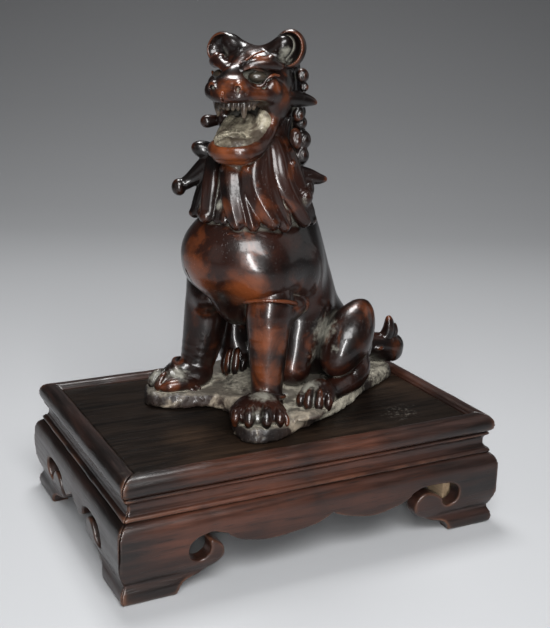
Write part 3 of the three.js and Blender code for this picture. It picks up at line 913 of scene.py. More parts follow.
def footLine(eye, values):
    # the sawn line from the arch, round the scroll's hole and hook, down to the foot's pad;
    # measured back from the corner
    reach = values["hookReach"]
    return curveThrough([
        (reach + 2, 26.2), (reach - 5, 28.5), (eye + 4, 28.4), (eye - 1.5, 27.2),
        (eye - 4.7, 24.4), (eye - 5.3, 20.6), (eye - 3.6, 16.8), (eye + 0.4, 15.4),
        (eye + 3.8, 17.4), (eye + 5.2, 20.8), (max(reach - 9.5, eye + 5), 24.4), (reach - 4.4, 24.2),
        (reach - 0.6, 20.8), (reach - 0.4, 15.4), (reach - 4.4, 11.0),
        (reach - 11, 7.9), (29.0, 5.8), (26.5, 3.0), (25.6, 0.6), (25.4, -4.0),
    ], 5)


apronValues = {             # mm
    "hookReach": 48.0,      # how far each scroll reaches from its corner
    "crown": 19.0,
    "cuspHeight": 25.6,
}


def apronOutline(length, leftEye, rightEye, cusp, values):
    half = length / 2
    span = half - values["hookReach"]
    left = [(back - half, z) for back, z in footLine(leftEye, values)[::-1]]
    right = [(half - back, z) for back, z in footLine(rightEye, values)]
    cuspHalf = min(9.0, span * 0.3)

    def wave(side):
        return curveThrough([
            (cusp, values["cuspHeight"]), (cusp + side * cuspHalf * 0.5, values["cuspHeight"] - 2.4),
            (cusp + side * cuspHalf * 1.3, values["cuspHeight"] - 4.7),
            (side * span * 0.52, values["crown"]), (side * span * 0.8, values["crown"] + 2.2),
            (side * (span - 3), 24.6),
        ], 6)

    middle = np.vstack([wave(-1)[::-1], wave(1)[1:]])
    outer = [(half + 6, -4), (half + 6, 60), (-half - 6, 60), (-half - 6, -4)]
    return np.vstack([left, middle, right, outer])


standSides = [      # eyes are the scrolls' holes, measured back from each corner; cusp is off centre
    {"name": "front", "turn": 0, "long": True, "eyes": (36, 27), "cusp": 4.5},
    {"name": "right", "turn": 90, "long": False, "eyes": (29, 29), "cusp": 0},
    {"name": "back", "turn": 180, "long": True, "eyes": (30, 30), "cusp": 0},
    {"name": "left", "turn": 270, "long": False, "eyes": (29, 29), "cusp": 0},
]


def makeStand(finishes):
    s = standSizes()
    clays = []
    for index, side in enumerate(standSides):
        length, depth = (s["length"], s["depth"]) if side["long"] else (s["depth"], s["length"])
        finish = finishes["woodX" if side["long"] else "woodY"]
        outline = apronOutline(length, *side["eyes"], side["cusp"], apronValues)
        lengths = (("topRail", "frame_rail_", railSection(s), 10, None),
                   ("waist", "waist_moulding_", waistSection(s), 20, None),
                   ("apron", "apron_", apronSection(s), 30, outline))
        for label, node, section, seed, sawn in lengths:
            clay = mouldedSide(section, length, depth, side["turn"], seed + index, sawn)
            name = label + side["name"].capitalize()
            clays.append((name, clay, node + side["name"], finish, "rosewood"))
    clays.append(("floatingPanel", makePanelClay(s), "top_panel", finishes["panel"], "panel_wood"))
    around = Surroundings([row[1] for row in clays], (-112, -82, -3), (112, 82, 66), 1.0, (1, 3, 7))
    for name, clay, node, finish, slot in clays:
        makePiece(name, clay, Matrix.Identity(4), "stand", [node], around, finish, standSpots)
    for node in ("panel_batten", "glue_block_front_left", "glue_block_front_right",
                 "glue_block_back_right", "glue_block_back_left"):
        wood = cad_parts[node]
        wood.data.materials.clear()
        wood.data.materials.append(finishes["raw"])
    print("stand made")


panelShape = {              # mm
    "voxel": 0.7,
    "margin": 1.2,
    "tongue": 3.0,          # what the rails' grooves hide all round
    "rounding": 0.8,
    "wobble": 0.12,
    "wobbleLength": 14.0,
}


def makePanelClay(s):
    values = panelShape
    low, high = s["panelLow"], s["panelHigh"]
    clay = Clay(low - values["margin"], high + values["margin"], values["voxel"])
    x, y, z = clay.window(low - values["margin"], high + values["margin"])[1]
    middle = (low + high) / 2
    half = (high - low) / 2
    field = np.maximum(np.abs(x) - half[0] + values["tongue"], np.abs(y) - half[1] + values["tongue"])
    thick = np.abs(z - middle[2]) - half[2] + 0 * field
    clay.field = smoothCut(field + 0 * z, thick, values["rounding"]).astype(np.float32)
    clay.roughen(values["wobbleLength"], values["wobble"], 5)
    return clay


# the lion is made in its own mm: +X is where it faces, +Y its left, Z from the slab's underside
lionPlace = {
    "x": -5.0,
    "y": 8.0,
    "heading": 200.0,       # degrees
    "head": (-2.0, 0.0, 158.0),
    "headTurn": 18.0,       # degrees to its left
    "slabTop": 7.6,
}


def lionToWorld():
    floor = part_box("base_slab")[0][2] / mm
    return (Matrix.Translation((lionPlace["x"], lionPlace["y"], floor))
            @ Matrix.Rotation(math.radians(lionPlace["heading"]), 4, "Z"))


def headToLion():
    return (Matrix.Translation(lionPlace["head"])
            @ Matrix.Rotation(math.radians(lionPlace["headTurn"]), 4, "Z"))


def mirrored(points, side):
    return [(p[0], side * p[1], *p[2:]) for p in points]


def ring(clay, center, radii, thickness, tilt=(0, 0), blend=0.0, share=(0.0, 1.0)):
    # a band round a leg; tilt is its rise per mm forward and per mm to the left
    turns = np.linspace(share[0], share[1], 26) * 2 * math.pi
    rows = []
    for t in turns:
        x, y = radii[0] * math.cos(t), radii[1] * math.sin(t)
        rows.append((center[0] + x, center[1] + y, center[2] + tilt[0] * x + tilt[1] * y, thickness))
    clay.strand(rows, blend, False, 2)


torsoShape = {
    "voxel": 0.7,
    "chest": ((3.5, 0, 79), (31, 32.5, 26)),
    "back": ((-15, 0, 86), 25.5, (-35, 0, 37), 26.5),
    "rump": ((-43, 0, 26), (28, 29, 21)),
    "neck": ((-6, 0, 92), 22, (-5, 0, 120), 18),
    "spine": [(-27, 0, 104, 0.5), (-40, 0, 84, 0.8), (-50, 0, 66, 0.8), (-59, 0, 48, 0.7),
              (-68, 0, 34, 0.5)],
    "seams": (-26, 103),    # degrees round the chest, where fine lines run down it
}


def makeTorsoClay():
    shape = torsoShape
    clay = Clay((-84, -46, 3), (38, 46, 128), shape["voxel"])
    clay.limb(*shape["back"])
    clay.ball(*shape["rump"], blend=12)
    clay.limb(*shape["neck"], blend=8)
    for side in (-1, 1):
        clay.limb((-24, side * 15, 50), 15.5, (-13, side * 20, 20), 10.0, 5)
        clay.ball((8, side * 19, 73), (15, 14, 16), (0, 0, 0), 5)
        clay.ball((-12, side * 20, 72), (17, 12, 20), (0, 12, 0), 7)
    clay.ball(*shape["chest"], blend=5)
    clay.ball((1, 2, 62), (22, 15, 19), (0, 30, 0), 6)
    clay.ball((-8, 0, 36), (16, 15, 13), (0, 0, 0), 8, True)
    clay.ball((-26, -4, 22), (13, 18, 20), (0, 0, 0), 4)
    clay.strand(shape["spine"], 6)
    for azimuth in shape["seams"]:
        turn = math.radians(azimuth)
        line = []
        for rise in np.linspace(58, -40, 9):
            up = math.radians(rise)
            away = 1 - 0.0004 * abs(rise - 10)
            out = away * math.cos(up)
            lean = turn + up * 0.10
            x, y = 3 + 30 * out * math.cos(lean), 31 * out * math.sin(lean)
            line.append((x, y, 76 + 26 * math.sin(up), 0.55))
        clay.strand(line, 0.9, True)
    clay.roughen(16, 0.3, 41)
    clay.roughen(5, 0.07, 42)
    return clay


legShape = {        # each joint of a leg is x, y, z and radius
    "voxel": 0.5,
    "leftTop": (8.4, 23.0, 57.5, 11.6),
    "leftKnee": (11, 25.2, 34, 9.4),
    "leftAnkle": (12.5, 26.5, 17, 8.0),
    "rightTop": (4, -23.5, 62, 12.6),
    "rightKnee": (8, -24.5, 32, 11.0),
    "rightAnkle": (13, -25.5, 14, 8.6),
    "ringHeight": 58.4,
}


def makePaw(clay, center, heading, size, toes, seed, without=()):
    # a broad foot with four almond toes; center is the middle of the foot on the slab
    turn = math.radians(heading)
    c, s = math.cos(turn), math.sin(turn)

    def spot(x, y, z):
        return (center[0] + c * x - s * y, center[1] + s * x + c * y, center[2] + z)

    length, width, height = size
    for back, up, radii in ((0, 0.42, (0.5, 0.5, 0.58)), (0.2, 0.62, (0.34, 0.36, 0.5))):
        pad = [share * whole for share, whole in zip(radii, size)]
        clay.ball(spot(-length * back, 0, height * up), pad, (0, 0, heading), 3)
    shake = np.random.default_rng(seed)
    for row, step in enumerate((1.5, 0.5, -0.5, -1.5)):
        if row in without:
            continue
        inner = abs(step) < 1
        y = step * width * 0.28 * (1.0 if inner else 0.86)
        front = length * (0.46 if inner else 0.33)
        z = height * (0.90 if inner else 0.74)
        thick = toes * (1.0 if inner else 0.92) * shake.uniform(0.94, 1.04)
        clay.strand([
            (*spot(front - toes * 2.1, y * 0.8, z), thick * 0.45),
            (*spot(front - toes * 0.7, y, z * 0.86), thick * 0.88),
            (*spot(front + toes * 0.35, y * 1.04, height * 0.44), thick),
            (*spot(front + toes * 0.45, y * 1.06, height * 0.16), thick * 0.55),
        ], 0.25, False, 6)
    for step in (-1, 0, 1):
        y = step * width * 0.25
        front = length * (0.52 if step == 0 else 0.45)
        clay.strand([(*spot(front - toes * 1.6, y * 0.9, height * 0.98), 0.5),
                     (*spot(front - toes * 0.1, y, height * 0.66), 0.7),
                     (*spot(front + toes * 0.5, y * 1.03, height * 0.2), 0.6)], 0.5, True, 5)


def makeLeftForeleg():
    shape = legShape
    top, knee, ankle = shape["leftTop"], shape["leftKnee"], shape["leftAnkle"]
    floor = lionPlace["slabTop"]
    clay = Clay((-20, 8, 1), (50, 56, 74), shape["voxel"])
    clay.strand([(3, 21, 68, 8.0), top, knee, ankle, (14, 28, floor + 1, 8.6)])
    clay.strand([(4, 26, 53, 6.0), (-1.5, 27, 55.5, 4.4), (-7, 28, 56, 2.6)], 4)
    clay.strand([(-8.0, 28, 60, 1.6), (-10.4, 28.4, 56, 3.0), (-9, 28.4, 52.6, 1.6)], 0.9)
    ring(clay, (8.0, 22.8, shape["ringHeight"]), (12.9, 12.7), 0.9, (0.29, 0.28), 0.5)
    ring(clay, (13.0, 27.0, floor + 4.8), (9.0, 8.8), 0.9, (0.2, 0.2), 0.7)
    cuff = [(33, 28.5, 10, 0.8), (30.5, 33, 13.4, 1.0), (25.5, 38.5, 15.2, 1.1), (22.5, 44, 13.5, 1.1),
            (21.8, 48.6, 9.5, 1.0), (23, 50, 6.5, 0.8)]
    makePaw(clay, (28, 35.4, floor - 2.0), 44, (23, 28, 11), 2.7, 5)
    clay.strand(cuff, 0.8)
    clay.roughen(9, 0.18, 51)
    return clay


def makeRightForeleg():
    shape = legShape
    top, knee, ankle = shape["rightTop"], shape["rightKnee"], shape["rightAnkle"]
    floor = lionPlace["slabTop"]
    clay = Clay((-22, -48, 1), (52, -8, 80), shape["voxel"])
    clay.strand([(top[0] - 3, top[1], 70, top[3]), top, knee, ankle, (15, -26, floor + 2, 8.2)])
    clay.ball((12, -16, 54), (8, 8, 7), (0, -20, 20), 5)
    clay.limb((-2, -26, 56), 8.0, (-12, -27, 55), 3.0, 5)
    clay.strand([(-14, -27, 57, 1.4), (-15, -27, 54, 2.6), (-14, -27, 51, 1.2)], 0.8)
    clay.ball((17, -25.5, floor + 3.4), (12.6, 12.4, 8.0), (0, 14, 0), 2)
    for ahead, drop in ((0, 0), (2.6, 2.4)):
        clay.strand([(13 + ahead, -37, 16.6 - drop, 1.0), (20 + ahead, -34.4, 17.8 - drop, 1.2),
                     (26.4 + ahead, -27, 17.4 - drop, 1.3), (27.6 + ahead, -19, 13.4 - drop, 1.2),
                     (22 + ahead, -12.6, 8.0 - drop * 0.4, 1.0)], 0.4)
    makePaw(clay, (25.5, -27, floor - 2.0), -8, (25, 21, 11), 2.4, 6, (0,))
    clay.strand([(19, -15.8, 10.5, 1.2), (23, -16.2, 10.6, 2.4), (29, -17.8, 10.4, 3.5),
                 (34.5, -20.6, 10.0, 3.4), (38, -22.8, 9.4, 1.8)], 0.4)
    clay.roughen(9, 0.2, 52)
    return clay


hindShape = {       # the left leg's ropes; the right leg mirrors them
    "voxel": 0.5,
    "thigh": [(-23.5, 37, 20, 2.0), (-28, 37.5, 25, 8.6), (-34.5, 37.4, 32, 12.2), (-40.5, 36.8, 39, 11.6),
              (-45.5, 36.6, 45.5, 8.0), (-49, 36.5, 49.5, 3.6)],
    "hock": [(-50, 35, 22, 4.6), (-45.5, 37.5, 16, 6.6), (-40, 39, 12.5, 6.2)],
    "foot": [(-40, 38, 11, 5.6), (-26, 39, 10, 5.4), (-14, 40.5, 9.5, 5.8)],
}


def makeLeftHindLeg():
    shape = hindShape
    floor = lionPlace["slabTop"]
    clay = Clay((-66, 18, 1), (12, 58, 62), shape["voxel"])
    clay.strand(shape["hock"], 1.0)
    clay.strand(shape["foot"], 2.0)
    clay.strand(shape["thigh"], 0.6)
    clay.strand([(-52, 27, 46, 3), (-56, 30, 34, 5), (-54, 31, 22, 6)], 3)
    makePaw(clay, (-8.5, 41.5, floor - 2.0), 32, (20, 18.5, 11.5), 2.5, 7)
    clay.roughen(8, 0.16, 53)
    clay.roughen(2.2, 0.06, 54)
    return clay


def makeRightHindLeg():
    shape = hindShape
    floor = lionPlace["slabTop"]
    clay = Clay((-66, -56, 1), (14, -8, 62), shape["voxel"])
    shift = [(x - 1, 4.5 - y if y > 34 else -y, z - 1, r) for x, y, z, r in shape["thigh"]]
    clay.strand([(-40, -29, 13, 6.2), (-28, -25, 12, 6.2), (-18, -21.5, 12, 6.4)], 2.0)
    clay.strand([(-50, -31, 24, 5.0), (-46, -31, 19, 7.0), (-39, -30, 14.5, 6.4)], 1.0)
    clay.strand(shift, 0.6)
    clay.strand([(-52, -24, 46, 3), (-56, -26, 34, 5), (-54, -27, 22, 6)], 3)
    makePaw(clay, (-12, -17.4, floor - 1.5), 22, (21, 14.5, 19), 2.5, 8)
    clay.roughen(8, 0.16, 55)
    return clay


tailShape = {
    "voxel": 0.5,
    "root": [(-62, 10, 20, 6.5), (-72, 17, 19, 7.2), (-82, 22, 17.5, 7.0), (-91, 26, 16.5, 6.6)],
    "under": [(-82, 22, 14, 5.0), (-92, 26, 12.5, 5.6)],
    "band": ((-78, 20.5, 18), (3.2, 7.6), 0.9, (0, 0), 0.8, (0.0, 0.5)),
    "tip": [(-84.5, 24, 19, 3.4), (-86.4, 26, 25, 3.2), (-86.6, 26.5, 30, 2.4), (-86, 26.5, 33.4, 1.3)],
    "smallTip": [(-88, 25.5, 19, 2.6), (-89.8, 27.5, 24.5, 2.4), (-89.6, 28, 29, 1.3)],
    "groove": [(-87.6, 29.0, 31, 0.3), (-88.5, 29.6, 26, 0.5), (-87.6, 29.4, 22, 0.4)],
}


def makeTailClay():
    shape = tailShape
    clay = Clay((-104, 2, 3), (-56, 42, 42), shape["voxel"])
    clay.strand(shape["root"])
    clay.strand(shape["under"], 1.5)
    ring(clay, *shape["band"])
    clay.strand(shape["tip"], 1.0)
    clay.strand(shape["smallTip"], 0.5)
    clay.strand(shape["groove"], 0.4, True)
    clay.roughen(6, 0.16, 56)
    return clay


slabShape = {       # a cast sheet of rock under the paws, thin and uneven
    "voxel": 0.6,
    "outline": [
        (37, -39), (45, -26), (37, -13.5), (23, -2), (23, 10), (32, 21), (39.5, 31), (41.5, 43),
        (31, 51), (15, 49.5), (0, 48), (-24, 46), (-57, 37), (-86, 31), (-91, 24), (-83, 2),
        (-70, -18), (-50, -33), (-25, -40), (0, -43), (22, -44), (37, -39),
    ],
    "thickness": 7.6,
    "rounding": 2.6,
    "crust": [(4, 50, 7), (-4, 49, 6), (-13, 47, 5), (10, 49, 6), (-20, 36, 8), (-10, 28, 7), (2, 20, 6)],
}


def makeSlabClay():
    shape = slabShape
    clay = Clay((-94, -50, -1.5), (50, 56, 13), shape["voxel"])
    x, y, z = clay.window((-95, -51, -2), (51, 57, 14))[1]
    side = polygonDistance(x[:, :, 0], y[:, :, 0], curveThrough(shape["outline"], 6))[:, :, None]
    side = side + 1.2 * (z / shape["thickness"]) ** 2
    flat = np.abs(z - shape["thickness"] / 2) - shape["thickness"] / 2
    side = np.broadcast_to(side, clay.field.shape)
    clay.field = smoothCut(side, flat + 0 * side, shape["rounding"]).astype(np.float32)
    for cx, cy, wide in shape["crust"]:
        clay.ball((cx, cy, shape["thickness"] - 0.6), (wide, wide * 0.6, 1.7), (0, 0, 15), 1.5)
    clay.ball((-18, 4, 8.5), (26, 25, 4.5), (0, 0, 0), 3)
    clay.roughen(7, 0.45, 57)
    clay.roughen(2.4, 0.28, 58)
    clay.roughen(1.2, 0.22, 59)
    low, high = (np.array(corner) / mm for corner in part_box("base_slab"))
    turn = np.array(lionToWorld())
    wx = turn[0, 0] * x + turn[0, 1] * y + turn[0, 3]
    wy = turn[1, 0] * x + turn[1, 1] * y + turn[1, 3]
    inside = np.maximum(np.maximum(low[0] - wx, wx - high[0]), np.maximum(low[1] - wy, wy - high[1]))
    clay.field = np.maximum(clay.field, np.maximum(inside + 0.4, -z)).astype(np.float32)
    return clay


headShape = {       # in the head's own mm, before it is turned and set on the neck
    "voxel": 0.45,
    "skull": ((-3, 0, 3.5), (20, 19, 18.5)),
    "crown": ((-1, 0, 12.6), (12, 16.5, 8.6)),
    "muzzle": ((6, 0, 3), 13.5, (19, 0, 3.6), 10.4),
    "nose": ((26.4, 0.4, 5.4), (6.2, 9.0, 5.2)),
    "jaw": ((2, 0, -18), 13.6, (11, 1.0, -21.5), 9.2),
    "mouth": ((24, 0.6, -11.4), (19, 11.4, 9.6)),
    "jawShift": 1.8,         # the lower jaw is a little to the left of the nose
}


def makeHeadClay():
    shape = headShape
    clay = Clay((-27, -27, -42), (37, 27, 30), shape["voxel"], headToLion())
    clay.ball(*shape["skull"])
    clay.ball(*shape["crown"], blend=6)
    for side in (-1, 1):
        clay.strand(mirrored([(-1.5, 5, 19.0, 3.4), (-1.2, 11, 21.0, 3.6), (-0.8, 15, 24.4, 3.2)], side), 3)
    clay.limb((-5, 0, -6), 17, (-4, 0, -28), 15.5, 6)
    clay.limb(*shape["muzzle"], blend=4)
    clay.limb(*shape["jaw"], blend=4)
    clay.ball(*shape["nose"], blend=2.5)
    clay.strand([(12, 0, 15.5, 2.6), (19, 0, 11.4, 2.4), (24, 0.2, 9.2, 2.6)], 4)
    shift = shape["jawShift"]
    lip = [(9.0, 11.4, -14.0, 2.6), (12.5, 11.0, -18.2, 2.8), (18, 10.4, -22.2, 3.0),
           (24.5, 9.4, -24.0, 3.2), (28.6, 7.4, -24.6, 3.4), (30.4, 4.2, -24.8, 3.6), (30.8, 0, -24.8, 3.6)]
    for side in (-1, 1):
        clay.ball((25.0, side * 7.4 - 0.8, 2.8), (6.0, 4.9, 5.0), (0, 0, side * 12), 2)
        clay.ball((12, side * 12.6, 2.4), (8, 6.2, 5.6), (0, 0, side * -20), 3)
        clay.ball((4.5, side * 14.6, -4), (7, 4.6, 8), (0, 0, 0), 4)
        brow = [(22.4, 1.8, 10.6, 1.5), (21.6, 4.8, 12.8, 2.3), (18.8, 9.4, 15.0, 2.9),
                (14.2, 14.4, 15.6, 2.7), (9.0, 17.2, 14.4, 1.8)]
        clay.strand(mirrored(brow, side), 0.9)
        for x, y, z, r in ((20.8, 4.8, 14.4, 2.0), (17.8, 9.8, 17.2, 2.2), (13.2, 14.4, 17.6, 2.1)):
            clay.ball((x, side * y, z), (r, r * 1.1, r), (0, 0, 0), 0.7)
        upperLip = [(5, 13.0, -2.4, 2.0), (12, 14.2, 0.2, 2.0), (18, 13.0, 1.7, 2.3),
                    (24.6, 10.4, 2.0, 2.4), (29.6, 6.4, 1.2, 2.4), (31.4, 0, 0.4, 2.4)]
        clay.strand(mirrored(upperLip, side), 1.8)
        clay.strand([(x, y * side + shift, z, r) for x, y, z, r in lip], 1.6)
        under = [(x - 0.9, y * 0.92 * side + shift, z - 3.0, r * 0.74) for x, y, z, r in lip[2:]]
        clay.strand(under, 0.8)
        corner = [(10.5, 12.6, -3.0, 2.0), (7.6, 13.4, -8.5, 2.4), (8.0, 13.2, -14, 2.6)]
        clay.strand(mirrored(corner, side), 1.6)
    clay.ball((16.5, shift, -28.0), (11.5, 8.4, 4.4), (0, 6, 0), 3)
    clay.ball(*shape["mouth"], blend=1.2, cut=True)
    clay.ball((14, 0.4, -10.0), (10.5, 11.2, 7.0), (0, 0, 0), 1.0, True)
    clay.ball((26.5, shift, -20.4), (8.6, 9.4, 3.4), (0, 0, 0), 1.0, True)
    for side in (-1, 1):
        clay.ball((19.4, side * 9.2, 9.9), (4.4, 6.4, 3.9), (0, 0, side * 33), 0.8, True)
        lid = [(22.4, 4.2, 9.4, 0.45), (21.4, 6.0, 7.6, 0.6), (19.8, 9.6, 5.8, 0.6), (18.0, 12.6, 5.9, 0.6),
               (16.2, 14.2, 8.6, 0.55), (13.6, 16.2, 10.4, 0.55), (10.4, 17.6, 10.0, 0.4)]
        clay.strand(mirrored(lid, side), 0.4)
        clay.strand(mirrored([(19.4, 10.6, 4.4, 0.4), (16.6, 13.8, 4.6, 0.7), (14.8, 15.4, 8.4, 0.6),
                              (11.6, 17.2, 8.4, 0.5)], side), 0.5, True)
        clay.ball((13.2, side * 15.6, 4.8), (3.7, 3.0, 4.0), (0, 0, 0), 0.9)
        clay.ball((30.0, side * 6.5 + 0.4, 4.8), (3.2, 2.9, 3.0), (0, 0, 0), 1.0)
        clay.ball((32.6, side * 6.5 + 0.4, 4.6), (1.9, 1.4, 1.3), (0, 0, 0), 0.4, True)
        fold = [(27.6, 10.4, 7.6, 0.3), (24.2, 12.2, 4.8, 0.6), (18, 14.0, 4.6, 0.5)]
        clay.strand(mirrored(fold, side), 0.7, True)
        for back in (0.0, 2.8, 5.8):
            hair = [(2.5 - back, 16.4 - back * 0.1, -2.0, 0.3), (1.6 - back, 16.8 - back * 0.1, -10, 0.6),
                    (3.6 - back, 16.2, -18, 0.65), (7.0 - back, 14.8, -25.5, 0.35)]
            clay.strand(mirrored(hair, side), 0.7, True)
    clay.strand([(33.4, 0.2, 3.2, 0.45), (33.6, 0.2, 0.4, 0.6), (32.6, 0.2, -2.0, 0.5)], 0.4, True)
    for y in (-2.2, 2.4):
        frown = [(23.0, y * 0.4, 10.6, 0.3), (20.6, y, 13.4, 0.5), (16.5, y * 1.6, 17.0, 0.4)]
        clay.strand(frown, 0.8, True)
    scratch = [(21.6, 1.4, 12.6, 0.3), (18.4, 3.4, 16.2, 0.45), (13, 6.2, 19.6, 0.45), (7, 8.6, 21.0, 0.3)]
    clay.strand(scratch, 0.5)
    for y, z, r in ((-4.4, -34.2, 3.0), (1.4, -33.8, 2.6), (7.4, -33.4, 3.3)):
        clay.ball((21.5, y, z), (r, r, r * 0.95), (0, 0, 0), 0.5)
    clay.roughen(6, 0.22, 61)
    clay.roughen(2.0, 0.07, 62)
    return clay


earShape = {     # centre, radii and turn of each cup, and the stretch of rim that stands proud
    1: ((-1.0, 17.4, 21.8), (5.0, 8.0, 9.4), (-12, -8, 16), (-0.42, 0.72)),
    -1: ((0.0, -18.6, 21.0), (5.0, 8.8, 7.8), (16, -8, -14), (0.24, 1.36)),
}


def makeEarClay(side):
    center, radii, turn, share = earShape[side]
    clay = Clay((-14, -32, 8), (14, 32, 38), 0.4, headToLion())
    clay.ball(center, radii, turn)
    clay.limb((-3, side * 10, 16), 6.0, (-2.6, side * 15.5, 18.5), 5.0, 3)
    tilt = turnMatrix(turn)
    deep = np.array(center) + tilt @ np.array((4.6, -side * 0.9, -0.2))
    clay.ball(deep, (6.6, radii[1] - 1.0, radii[2] - 1.1), turn, 0.6, True)
    mouth = np.array(center) + tilt @ np.array((6.0, -side * 5.6, -2.0))
    clay.ball(mouth, (5.0, 5.0, 6.0), turn, 2.0, True)
    rim = []
    for t in np.linspace(*share, 20) * math.pi:
        edge = np.array((0.6, (radii[1] - 0.8) * math.cos(t), (radii[2] - 0.8) * math.sin(t)))
        rim.append((*(np.array(center) + tilt @ edge), 0.62))
    clay.strand(rim, 0.5, False, 2)
    clay.roughen(5, 0.15, 63)
    return clay


eyeShape = {
    "voxel": 0.35,
    "slant": 33,            # degrees outward
    "ball": ((17.6, 9.8, 9.4), (3.2, 4.6, 2.6)),
    "pupil": ((19.3, 8.8, 9.6), (1.7, 2.0, 1.7)),
}


def makeEyeClay(side):
    shape = eyeShape
    clay = Clay((8, -18, 2), (26, 18, 18), shape["voxel"], headToLion())
    for part, blend in (("ball", 0.0), ("pupil", 0.9)):
        (x, y, z), radii = shape[part]
        clay.ball((x, side * y, z), radii, (0, 0, side * shape["slant"]), blend)
    return clay


tongueShape = {
    "voxel": 0.45,
    "root": [(4, 0, -14, 6.0), (11, 0.6, -16, 6.4), (18, 1.2, -19.0, 4.8), (24, 1.6, -21.0, 3.2)],
    "rightDrop": 5.5,       # how much lower the right edge starts
    "pits": [               # how many, x from and to, y from and to, height and radii
        (20, 18.5, 28, -8.0, -2.6, -13.6, (0.75, 0.7, 0.9)), (8, 21, 27, 5.0, 9.0, -14.0, (0.6, 0.6, 0.9))],
    "slope": 0.67,
    "lumps": [(20.5, -7.6), (26.2, -4.4), (25.4, 7.6), (21.0, 10.0)],
}


def makeTongueClay():
    shape = tongueShape
    clay = Clay((-4, -15, -30), (34, 16, 0), shape["voxel"], headToLion())
    shift = headShape["jawShift"]
    clay.strand(shape["root"])
    for side in (-1, 1):
        rise = 0 if side > 0 else shape["rightDrop"]
        edge = [(9, 8.8, -7.6 - rise, 3.0), (11.5, 9.4, -12.4 - rise * 0.7, 3.0), (16, 9.0, -18.4, 2.8),
                (23, 7.8, -21.6, 2.6), (27.2, 4.5, -22.4, 2.6), (28.0, 0, -22.4, 2.6)]
        clay.strand([(x, y * side + shift * 0.6, z, r) for x, y, z, r in edge], 1.8)
    clay.ball((17.5, 1, -18.0), (12.6, 10.4, 3.8), (0, 34, 0), 3)
    clay.ball((20, 0.8, -11.5), (9, 6.6, 3.6), (0, 34, 0), 2, True)
    clay.ball((23.6, 2.4, -18.4), (2.6, 4.8, 2.4), (0, 34, 0), 0.6, True)
    shake = np.random.default_rng(12)
    for count, back, front, low, high, height, radii in shape["pits"]:
        for x, y in [(shake.uniform(back, front), shake.uniform(low, high)) for pit in range(count)]:
            clay.ball((x, y, height - (x - 17.5) * shape["slope"]), radii, (0, 0, 0), 0.25, True)
    for x, y in shape["lumps"]:
        clay.ball((x, y, -20.4), (1.5, 1.5, 1.6), (0, 0, 0), 0.5)
    clay.roughen(3, 0.3, 64)
    clay.roughen(1.3, 0.2, 65)
    return clay


toothShape = {     # root height, reach forward, half width, shift, ordinary drop and fang's drop
    "upper": (-2.8, 30.0, 9.4, 1.0, 2.4, 5.9),
    "lower": (-22.6, 28.6, 8.8, 1.8, 1.4, 3.2),
}


def toothClay(row):
    root, reach, wide, shift, short, long = toothShape[row]
    way = -1 if row == "upper" else 1
    clay = Clay((6, -15, -26), (36, 16, 4), 0.4, headToLion())

    def spot(angle, inward=0.0):
        turn = math.radians(angle)
        return reach - 10 + (10 - inward) * math.cos(turn), wide * math.sin(turn) + shift

    for angle in (-78, -62, -46, -30, -15, 0, 15, 30, 46, 62, 78):
        fang = abs(angle) == 46
        x, y = spot(angle)
        drop = long if fang else short
        thick = 1.8 if fang else 1.35
        clay.strand([(x - 0.4, y, root - way * 1.2, thick), (x, y, root + way * drop * 0.45, thick * 0.88),
                     (x + 0.1, y, root + way * drop, thick * 0.34)], 0.25)
    clay.strand([(*spot(angle, 0.8), root - way * 1.6, 1.5) for angle in range(-100, 101, 20)], 0.6)
    clay.roughen(3, 0.15, 66)
    return clay


maneShape = {
    "voxel": 0.62,
    "topHeight": 136.0,
    "hem": 98.5,
    "topRadius": 15.5,
    "hemRadius": 29.0,
    "underLocks": 24,
    "locks": [       # azimuth at root, middle and hem, rise of the hem, thickness, knob
        (-43, -43, -43, 0.5, 3.0, 2.6), (-44, -20, -6, 2.0, 3.5, 3.4), (8, 17, 30, 0.5, 4.2, 2.8),
        (33, 34, 45, -0.5, 3.3, 0), (49, 45, 64, 1.5, 4.9, 3.4), (62, 60, 77, -1.0, 3.6, 0),
        (86, 84, 106, 0.0, 4.2, 2.6),
        (116, 112, 126, -1, 4.0, 3.2), (146, 152, 148, -2, 4.4, 3.2), (176, 170, 180, -4, 4.6, 3.4),
        (-154, -148, -153, -2, 4.4, 3.2), (-126, -132, -122, -1, 4.2, 3.4), (-98, -92, -96, 0, 4.2, 3.2),
        (-72, -76, -68, 0.5, 4.4, 3.4),
    ],
    "curls": [       # x, y, z, radius and stretch of the knobs behind the cheeks and down the nape
        (-17, 17.0, 167.4, 3.4, 1.1), (-18.2, 17.4, 162.0, 2.4, 1.0), (-14.0, 18.0, 149, 3.0, 1.3),
        (-16.6, 17.0, 144.8, 3.7, 1.0), (-18.0, 18.0, 136.6, 4.2, 1.15), (-16.6, 18.4, 129.4, 4.0, 1.2),
        (-10, 20.5, 138, 3.2, 1.6), (-11.5, 25.4, 109.8, 4.7, 1.05), (-17, 21.5, 113, 4.6, 1.3),
        (-20, 6.5, 171, 5.0, 1.0), (-22, 7.5, 160.5, 5.4, 1.1), (-22.5, 8, 149.5, 5.6, 1.1),
        (-23, 8, 138.5, 5.8, 1.1), (-24, 8.5, 127, 6.0, 1.1), (-25, 9, 115, 6.2, 1.1),
        (-26, 9, 104, 5.6, 1.1),
    ],
}


def manePoint(azimuth, share, out):
    # share runs from the top of the lock to its hem
    shape = maneShape
    radius = shape["topRadius"] + (shape["hemRadius"] - shape["topRadius"]) * share ** 0.75 + out
    z = shape["topHeight"] + (shape["hem"] - shape["topHeight"]) * share
    turn = math.radians(azimuth)
    return (-2 + radius * math.cos(turn), radius * math.sin(turn), z)


